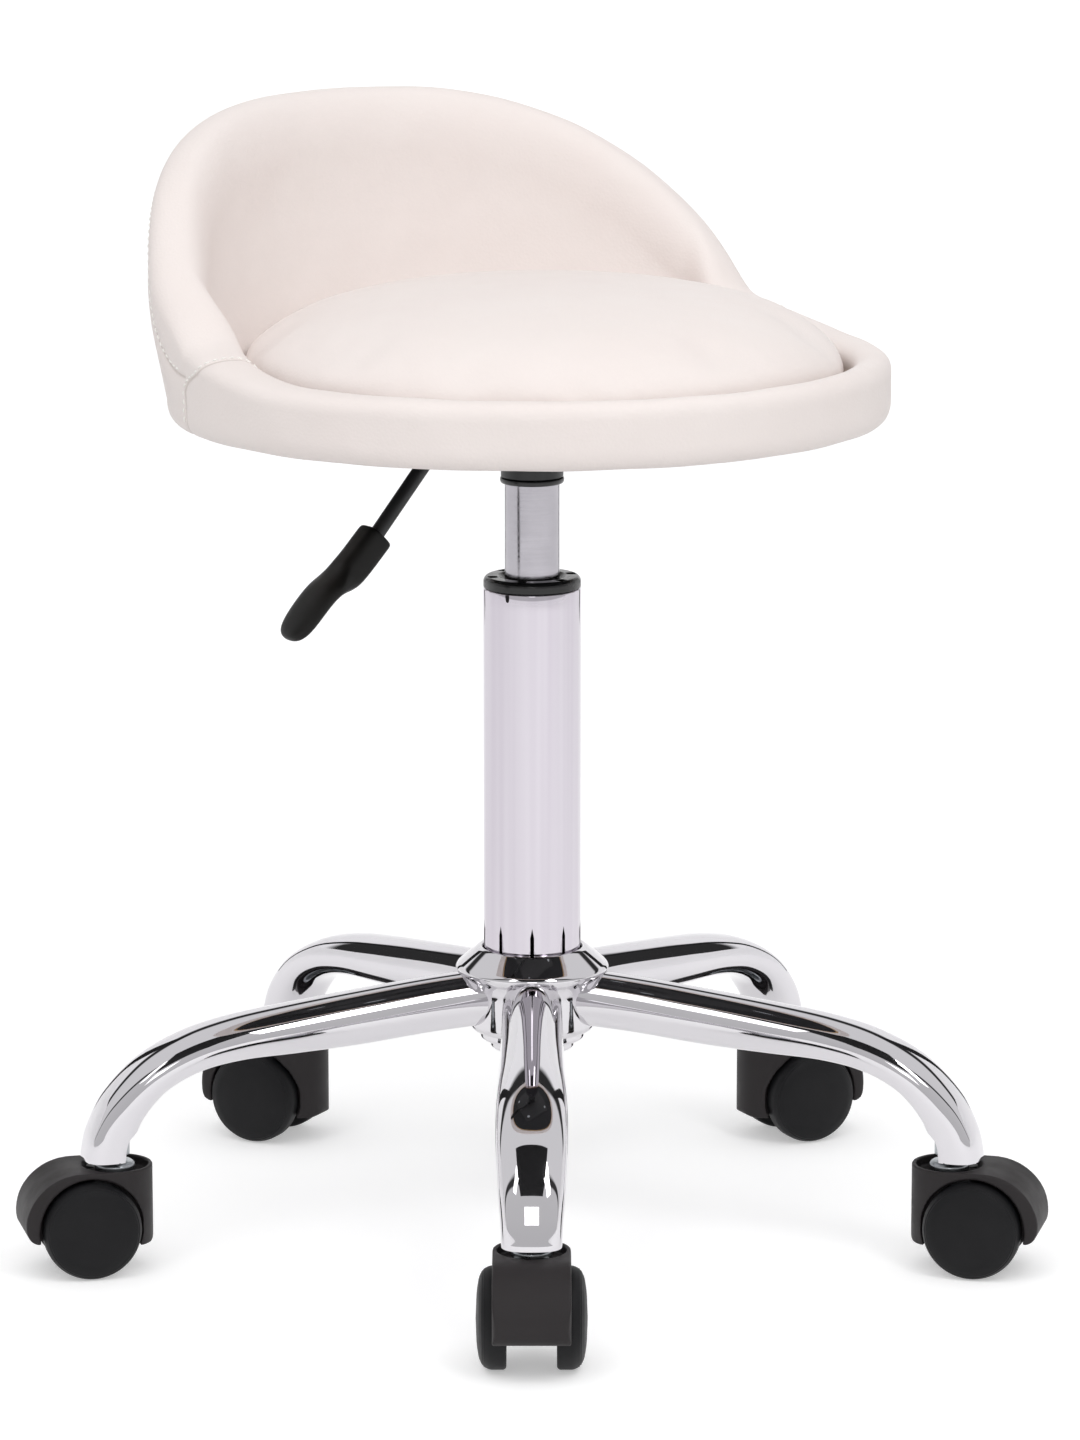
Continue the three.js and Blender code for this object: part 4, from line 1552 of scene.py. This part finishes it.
@dataclass
class StarBase(Assembly):
    """The chrome hub and its five swept legs, each a tube that opens to a channel at its tip."""

    floor: Place
    legs: int = 5
    wall: float = 1.8
    tip: float = 58.0
    stem_at: float = 222.5
    socket_r: float = 7.6
    stations: tuple = (
        (24, 126.6, 15.4, 14.6), (58, 124.3, 15.5, 14.3), (94, 120.8, 15.9, 14.1),
        (128, 118, 16.6, 13.1), (158, 115.3, 17.3, 11.6), (182, 110, 17.7, 10.6),
        (203, 99.5, 17.6, 10.3), (218, 84, 16.6, 11), (225, 69, 15.3, 12), (227, 58, 14.8, 12.6),
    )

    def hub(self) -> None:
        """The hub with its flared skirt, and the stepped ring under it."""
        profile = [
            (25.3, 150.5, 0), (26.3, 152.2, 0.9), (28.3, 151.4, 1.4), (33, 147.5, 2),
            (38.6, 142.6, 2.2), (39.7, 140.6, 1.2), (38.4, 138.2, 2), (34.6, 134.8, 2.6),
            (32.5, 130, 3), (32.5, 110.5, 1.6), (30.5, 108, 1), (20, 108, 0), (20, 114, 0),
            (25.3, 114, 0), (25.3, 150.5, 0),
        ]
        made = self.lathed("star_hub", self.floor, profile, Kind.CHROME, 128, 50.0)
        installed(made, "base", "chrome", "hub")
        profile = [
            (12, 98, 0), (20.5, 98, 0.6), (21.7, 99.2, 0.8), (21.7, 103, 0.4), (25.8, 103, 0.8),
            (27, 104.2, 0.8), (27, 107.7, 0.3), (12, 107.7, 0), (12, 98, 0),
        ]
        made = self.lathed("hub_foot_ring", self.floor, profile, Kind.CHROME, 128, 50.0)
        installed(made, "base", "chrome", "hub_ring")

    def along(self, share: Array) -> tuple[Array, Array, Array]:
        """The leg's middle line, its tangent and its girth.

        Args:
            share: shares (n,) of the way through the stations, 0 to 1.

        Returns:
            Points (n, 2) in reach and height, unit tangents (n, 2), half width and depth (n, 2).
        """
        curve = spline(np.array(self.stations), share)
        tangent = np.gradient(curve[:, :2], axis=0)
        tangent /= np.linalg.norm(tangent, axis=1, keepdims=True)
        return curve[:, :2], tangent, curve[:, 2:]

    def skin(self, inset: float, share: Array, sides: int, opened: Array) -> Array:
        """The leg's surface, less an inset from the outside.

        The ring at a share is a superellipse about the middle line, squarer towards the tip.
        It runs from -pi + open to pi - open about the outer side, so open parts it inwards.

        Args:
            inset: how far inside the outer surface, in millimetres.
            share: shares (n,) of the way along the leg.
            sides: points in a ring.
            opened: how far each ring is open, in radians.

        Returns:
            A grid of points, one row for each share.
        """
        line, tangent, girth = self.along(share)
        sweep = np.linspace(-1, 1, sides)[None] * (math.pi - opened[:, None])
        power = (1 - 0.28 * smoothstep(share, 0.3, 1.0))[:, None]
        side = bowed(np.sin(sweep), power) * (girth[:, :1] - inset)
        rise = bowed(np.cos(sweep), power) * (girth[:, 1:] - inset)
        x = line[:, :1] - tangent[:, 1:] * rise
        z = line[:, 1:] + tangent[:, :1] * rise
        return np.stack([x, side, np.maximum(z, self.tip)], -1)

    def leg(self, number: int) -> bpy.types.Object:
        """A leg: outer and inner skins joined along the root, the tip and the channel's lips.

        Args:
            number: the leg, from 1 to 5.

        Returns:
            The leg.
        """
        share = np.concatenate([np.linspace(0, 0.5, 26), np.linspace(0.5, 1.0, 75)[1:]])
        opened = 1.15 * smoothstep(share, 0.76, 0.88)
        sides = 65
        outer = self.skin(0.0, share, sides, opened)
        inner = self.skin(self.wall, share, sides, opened)
        outer[-1, :, 2] = inner[-1, :, 2] = self.tip
        faces = walled_faces(len(share), sides, np.flatnonzero(opened[1:] > 0))
        points = np.concatenate([outer.reshape(-1, 3), inner.reshape(-1, 3)])
        points = leg_place(number).put(points)
        made = new_piece(f"swept_leg_{number}", points, faces, self.palette.get(Kind.CHROME), 40)
        return installed(made, "base", "chrome", f"leg_{number}")

    def stem_socket(self, number: int) -> bpy.types.Object:
        """The socket pressed into a leg's tip, round the caster's stem.

        Args:
            number: the leg, from 1 to 5.

        Returns:
            The socket.
        """
        foot = self.tip + 1.5
        profile = [
            (5.3, foot, 0.3), (self.socket_r, foot, 0.6), (self.socket_r, 71.0, 0.8),
            (self.socket_r - 1.2, 72.0, 0.4), (5.3, 72.0, 0.3), (5.3, foot, 0),
        ]
        grid = turned(softened(profile), 40)
        grid[..., 0] += self.stem_at
        points = leg_place(number).put(grid)
        made = self.shaped(f"stem_socket_{number}", points, Kind.ZINC_STEEL, ROWS_JOIN)
        return installed(made, "base", "chrome")

    def build(self) -> None:
        """Builds the hub and every leg."""
        self.hub()
        for number in range(1, self.legs + 1):
            self.leg(number)
            self.stem_socket(number)


# ---- casters --------------------------------------------------------------------------------


@dataclass
class CasterSet(Assembly):
    """Five twin-wheel casters: moulded hoods on stems, and domed wheels on axles."""

    count: int = 5
    trail: float = 15.0
    axle_z: float = 25.0
    hood_half: float = 19.0
    hood_top: float = 54.7
    hood_reach: float = 49.5
    hood_corner: float = 5.0
    cup_r: float = 16.9
    cup_floor: float = 49.5
    bore_r: float = 5.3
    bore_floor: float = 33.0
    pocket_r: float = 26.6
    web_half: float = 11.8
    wheel_in: float = 12.15
    wheel_out: float = 27.0
    voxel: float = 0.62

    def side_view(self) -> Array:
        """The hood's outline in x and z: an upright housing and an arch over the wheels.

        Returns:
            Points (n, 2).
        """
        corner = self.bezier([(-19, 18.5), (-19, 14.5), (-15, 14.5)])
        tail = self.bezier([(42.6, 19.4), (47.2, 20.4), (48.2, 25.5)])
        arch = self.bezier([(48.2, 25.5), (50.4, 38), (39, self.hood_top), (20, self.hood_top)], 24)
        return np.concatenate([corner, tail, arch, [(-19, self.hood_top)]])

    def plan_view(self) -> Array:
        """The hood's outline from above: round about the stem, with rounded rear corners.

        Returns:
            Points (n, 2).
        """
        half = self.hood_half
        a = np.linspace(math.pi / 2, 3 * math.pi / 2, 40)
        nose = np.stack([half * np.cos(a), half * np.sin(a)], 1)
        corner = self.hood_corner
        b = np.linspace(-math.pi / 2, 0, 10)
        x = self.hood_reach - corner + corner * np.cos(b)
        low = np.stack([x, corner - half + corner * np.sin(b)], 1)
        high = low[::-1] * [1, -1]
        return np.concatenate([nose, low, high])

    def bezier(self, corners: list[tuple[float, float]], steps: int = 8) -> Array:
        """A Bezier curve through its end points, by repeated blending of the corners.

        Args:
            corners: its control points.
            steps: number of spans.

        Returns:
            Points (steps + 1, 2).
        """
        t = np.linspace(0, 1, steps + 1)[:, None]
        layers = [np.broadcast_to(np.array(c, float), (steps + 1, 2)) for c in corners]
        while len(layers) > 1:
            layers = [(1 - t) * a + t * b for a, b in zip(layers, layers[1:])]
        return layers[0]

    def prism(
        self, name: str, outline: Array, low: float, high: float, axis: int
    ) -> bpy.types.Object:
        """An outline carried straight along an axis, closed by a face at each end.

        Args:
            name: the name of the solid.
            outline: points (n, 2) in the other two axes, in millimetres.
            low: where it starts along the axis.
            high: where it ends.
            axis: 0, 1 or 2 for X, Y or Z.

        Returns:
            The solid, in its own frame.
        """
        n = len(outline)
        order = [i for i in range(3) if i != axis]
        points = np.zeros((2, n, 3))
        points[..., order] = outline[None]
        points[0, :, axis], points[1, :, axis] = low, high
        mesh = bpy.data.meshes.new(name)
        walls = grid_faces(2, n, False, True).tolist()
        caps = [list(range(n)), list(range(n, 2 * n))]
        mesh.from_pydata((points.reshape(-1, 3) * MM).tolist(), [], walls + caps)
        weld(mesh)
        made = bpy.data.objects.new(name, mesh)
        bpy.context.scene.collection.objects.link(made)
        return made

    def circle(self, radius: float, x: float, z: float, sides: int = 72) -> Array:
        """A circle's points."""
        a = 2 * math.pi * np.arange(sides) / sides
        return np.stack([x + radius * np.cos(a), z + radius * np.sin(a)], 1)

    def moulded_hood(self) -> tuple[Array, Array]:
        """Cuts the hood once in its own frame and rounds every edge.

        The side view, carried across, is met with the plan view, carried up; the wheel pockets,
        the stem's cup and its bore are cut away, and the result is remeshed and eased.

        Returns:
            The mesh, as points in millimetres and faces.
        """
        hood = self.prism("hood", self.side_view(), -22, 22, 1)
        steps = [("INTERSECT", self.prism("plan", self.plan_view(), 5, 60, 2))]
        pocket = self.circle(self.pocket_r, self.trail, self.axle_z, 128)
        for low, high in ((self.web_half, 24), (-24, -self.web_half)):
            steps.append(("DIFFERENCE", self.prism("pocket", pocket, low, high, 1)))
        cup, bore = self.circle(self.cup_r, 0, 0), self.circle(self.bore_r, 0, 0)
        steps.append(("DIFFERENCE", self.prism("cup", cup, self.cup_floor, 70, 2)))
        steps.append(("DIFFERENCE", self.prism("bore", bore, self.bore_floor, 70, 2)))
        for number, (kind, cutter) in enumerate(steps):
            cut = hood.modifiers.new(f"cut_{number}", "BOOLEAN")
            cut.operation, cut.object, cut.solver = kind, cutter, "EXACT"
        settled(hood)
        for _, cutter in steps:
            bpy.data.objects.remove(cutter)
        remesh = hood.modifiers.new("remesh", "REMESH")
        remesh.mode, remesh.voxel_size = "VOXEL", self.voxel * MM
        smooth = hood.modifiers.new("smooth", "SMOOTH")
        smooth.iterations = 5
        settled(hood)
        points = vertex_array(hood.data) / MM
        faces = np.array([list(p.vertices) for p in hood.data.polygons])
        bpy.data.objects.remove(hood)
        return points, faces

    def hood(self, number: int, points: Array, faces: Array) -> bpy.types.Object:
        """Stands a copy of the moulded hood on its caster.

        Args:
            number: the caster, from 1 to 5.
            points: the hood's points in its own frame, in millimetres.
            faces: its faces.

        Returns:
            The hood.
        """
        finish = self.palette.get(Kind.HOOD_NYLON)
        points = caster_place(number).put(points)
        made = new_piece(f"wheel_hood_{number}", points, faces, finish, 60.0)
        return installed(made, f"caster_{number}", "nylon", f"caster_hood_{number}")

    def stem(self, number: int) -> bpy.types.Object:
        """The grip stem, with its thrust flange in the hood's cup.

        Args:
            number: the caster, from 1 to 5.

        Returns:
            The stem.
        """
        profile = [
            (0, 34, 0), (5, 34, 0.5), (5, 50.6, 0.3), (9.4, 50.6, 0.6), (10.2, 51.8, 0.8),
            (10.2, 54.6, 0.8), (8.8, 56.0, 0.8), (5, 56.6, 0.4), (5, 76, 2.5), (3.6, 79.6, 2),
            (0, 80.2, 0),
        ]
        place = caster_place(number)
        made = self.lathed(f"grip_stem_{number}", place, profile, Kind.ZINC_STEEL, 48)
        return installed(made, f"caster_{number}", "zinc_steel", f"caster_stem_{number}")

    def wheel(self, number: int, side: str) -> bpy.types.Object:
        """A wheel: a tread with eased edges and a domed outer face with a fine step.

        Args:
            number: the caster, from 1 to 5.
            side: left or right, as seen along the caster's +X.

        Returns:
            The wheel.
        """
        profile = softened([
            (0, 23, 0), (3.3, 23, 0), (3.3, self.wheel_in, 0.3), (8, self.wheel_in, 0.3),
            (9, 13.4, 0.5), (20, 13.4, 0.8), (21, self.wheel_in, 0.5), (24, self.wheel_in, 1),
            (25, 13.4, 1), (25, 20.3, 2.4), (23.4, 23.2, 1.2), (22.9, 23.3, 0.2),
            (22.6, 23.9, 0.4), (19.5, 25.4, 3), (13, 26.5, 4), (0, self.wheel_out, 0),
        ], 5)
        grid = turned(profile, 80)
        sign = 1 if side == "left" else -1
        x, z = grid[..., 0] + self.trail, grid[..., 1] + self.axle_z
        points = caster_place(number).put(np.stack([x, sign * grid[..., 2], z], -1))
        made = self.shaped(f"roller_{number}_{side}", points, Kind.NYLON, ROWS_JOIN)
        node = f"wheel_{number}_{side}"
        return installed(made, node, "nylon", node)

    def build(self) -> None:
        """Builds every caster."""
        points, faces = self.moulded_hood()
        for number in range(1, self.count + 1):
            self.hood(number, points, faces)
            self.stem(number)
            for side in ("left", "right"):
                self.wheel(number, side)


# ---- studio ---------------------------------------------------------------------------------


@dataclass
class Studio:
    """A pale cove, soft lights and the camera, all in metres."""

    column: tuple[float, float]
    camera_back: float = 3.040
    camera_x: float = 0.004
    camera_z: float = 0.891
    camera_tilt: float = 78.45
    lens: float = 151.75
    cove_r: float = 7.0
    cove_wall: float = 2.6
    cove_bend: float = 1.6
    floor_glow: float = 0.38
    sun_power: float = 0.72
    sun_spread: float = 50.0
    sun_at: tuple = (-0.25, -1.1, 1.9)
    middle: tuple = (0.0, 0.0, 0.35)
    boxes: tuple = (
        ("left_box", 3, (0.4, 1.1), (-1.0, -1.4, 2.1)),
        ("right_box", 11, (0.5, 1.3), (1.0, -1.4, 2.1)),
        ("front_box", 5, (0.9, 0.9), (0.0, -3.4, 1.7)),
    )
    cards: tuple = (
        ("left_card", (-0.95, 1.5, 0.8), (0.22, 0, 1.6)),
        ("right_card", (0.95, 1.5, 0.8), (0.22, 0, 1.6)),
        ("ceiling_card", (0.0, -1.5, 2.3), (1.6, 2.2, 0)),
    )
    world_strength: float = 1.16
    bands: tuple = (
        (0.0, 0.9), (0.17, 0.9), (0.19, 0.03), (0.235, 0.03), (0.255, 0.72),
        (0.62, 0.72), (0.64, 0.04), (0.685, 0.04), (0.7, 0.6), (1.0, 0.55),
    )

    def camera(self) -> None:
        """The camera, in front of the column and a little above the seat."""
        data = bpy.data.cameras.new("camera")
        data.lens, data.sensor_width = self.lens, 36.0
        data.clip_end = 60.0
        made = bpy.data.objects.new("camera", data)
        made.location = (self.camera_x, self.column[1] - self.camera_back, self.camera_z)
        made.rotation_euler = (math.radians(self.camera_tilt), 0, 0)
        bpy.context.scene.collection.objects.link(made)
        bpy.context.scene.camera = made

    def cove(self) -> None:
        """A round floor that curves up into a wall behind.

        The wall's height at each angle is scaled by an S curve of sin a, so that it stands
        full height at the back and sinks to the floor at the sides. It glows a little, but only
        to the camera and in reflections, so that it is white and sheds no light from below.
        """
        bend = np.linspace(0, math.pi / 2, 16)
        soft = self.cove_bend
        curve = np.stack([self.cove_r - soft + soft * np.sin(bend), soft - soft * np.cos(bend)], 1)
        r = np.concatenate([[0, 0.5, 1, 2, 3], curve[:, 0], [self.cove_r]])
        z = np.concatenate([[0, 0, 0, 0, 0], curve[:, 1], [self.cove_wall]])
        points = turned(np.stack([r, z], 1), 128)
        reach = np.maximum(np.hypot(points[..., 0], points[..., 1]), 1e-9)
        points[..., 2] *= smoothstep(points[..., 1] / reach, -0.25, 0.35)
        s = Sheet("pale_floor")
        s.set({"Base Color": to_linear("E4E4E4"), "Emission Color": to_linear("FFFFFF")})
        s.set({"Roughness": 0.7, "Specular IOR Level": 0.2})
        ray = s.add("LightPath", {}, {}).outputs
        links = {0: ray["Is Camera Ray"], 1: ray["Is Glossy Ray"]}
        seen = s.add("Math", {"operation": "MAXIMUM"}, links).outputs[0]
        glow = s.add("Math", {"operation": "MULTIPLY", 1: self.floor_glow}, {0: seen})
        s.feed("Emission Strength", glow.outputs[0])
        faces = grid_faces(*points.shape[:2], True, False)
        made = new_piece("cove", points, faces, s.material, 60.0)

    def box(self, name: str, power: float, size: tuple, at: tuple) -> None:
        """A rectangular softbox that faces the stool.

        Args:
            name: the light's name.
            power: its power in watts.
            size: its width and height.
            at: where it stands.
        """
        data = bpy.data.lights.new(name, "AREA")
        data.shape, data.energy = "RECTANGLE", power
        data.size, data.size_y = size
        self.stand(name, data, at, self.middle)

    def stand(
        self, name: str, data: bpy.types.Light, at: tuple, aim: tuple
    ) -> bpy.types.Object:
        """Places a light at a point and turns it to face another.

        Args:
            name: the light's name.
            data: the light.
            at: where it stands.
            aim: the point that it faces.

        Returns:
            The light, in the scene.
        """
        made = bpy.data.objects.new(name, data)
        made.location = at
        made.rotation_euler = (Vector(aim) - Vector(at)).to_track_quat("-Z", "Y").to_euler()
        bpy.context.scene.collection.objects.link(made)
        return made

    def overhead(self) -> None:
        """A broad even light from the front and above, left out of reflections.

        It lights the floor far off as much as near by.
        """
        data = bpy.data.lights.new("overhead", "SUN")
        data.energy = self.sun_power
        data.angle = math.radians(self.sun_spread)
        self.stand("overhead", data, self.sun_at, (0, 0, 0)).visible_glossy = False

    def world(self) -> None:
        """Even surroundings with thin dark bands across, which draw lines on polished metal.

        With t = atan2(z, y) / pi, from 0 at the back over 1/2 overhead to 1 in front, the light
        follows a table of bands.
        """
        world = bpy.data.worlds.new("studio")
        bpy.context.scene.world = world
        world.use_nodes = True
        tree = world.node_tree
        coords = add_node(tree, "TexCoord", {}, {}).outputs["Generated"]
        split = add_node(tree, "SeparateXYZ", {}, {0: coords}).outputs
        links = {0: split["Z"], 1: split["Y"]}
        turn = add_node(tree, "Math", {"operation": "ARCTAN2"}, links).outputs[0]
        settings = {"From Min": 0.0, "From Max": math.pi}
        share = add_node(tree, "MapRange", settings, {"Value": turn}).outputs[0]
        ramp = add_node(tree, "ValToRGB", {}, {0: share})
        stops = ramp.color_ramp.elements
        while len(stops) < len(self.bands):
            stops.new(0.5)
        for stop, (at, level) in zip(stops, self.bands):
            stop.position = at
            stop.color = (level, level, level * 1.01, 1.0)
        background = tree.nodes["Background"]
        background.inputs["Strength"].default_value = self.world_strength
        tree.links.new(ramp.outputs["Color"], background.inputs["Color"])

    def card(self, name: str, centre: tuple, size: tuple) -> None:
        """A dark card that only reflections show.

        Args:
            name: the card's name.
            centre: its middle.
            size: its extent along X, Y and Z, with one of the last two 0.
        """
        across = np.array([size[0], 0, 0]) / 2
        along = np.array([0, size[1], size[2]]) / 2
        signs = np.array([[(-1, -1), (1, -1)], [(-1, 1), (1, 1)]])
        points = np.array(centre) + signs[..., :1] * across + signs[..., 1:] * along
        s = Sheet(name)
        s.set({"Base Color": to_linear("1A1A1B"), "Roughness": 1.0})
        made = new_piece(name, points, grid_faces(2, 2, False, False), s.material)
        made.visible_diffuse = made.visible_shadow = made.visible_camera = False

    def build(self) -> None:
        """Builds the camera, the cove, the world and the lights."""
        self.camera()
        self.cove()
        self.world()
        self.overhead()
        for box in self.boxes:
            self.box(*box)
        for card in self.cards:
            self.card(*card)
        view = bpy.context.scene.view_settings
        view.view_transform = "Standard"
        view.exposure = 0.0


def main() -> None:
    """Builds the stool round the frame, and the studio."""
    logging.basicConfig(level=logging.INFO, format="%(name)s: %(message)s")
    palette = Palette()
    seat = seat_place()
    floor = Place(*column_xy(), 0.0)
    Studio(column_xy()).build()
    palette.dress_frame()
    SeatShell(palette, seat).build()
    SeatCushion(palette, seat).build()
    Lever(palette, seat).build()
    GasColumn(palette, seat, floor).build()
    StarBase(palette, floor).build()
    CasterSet(palette).build()


if __name__ == "__main__":
    main()
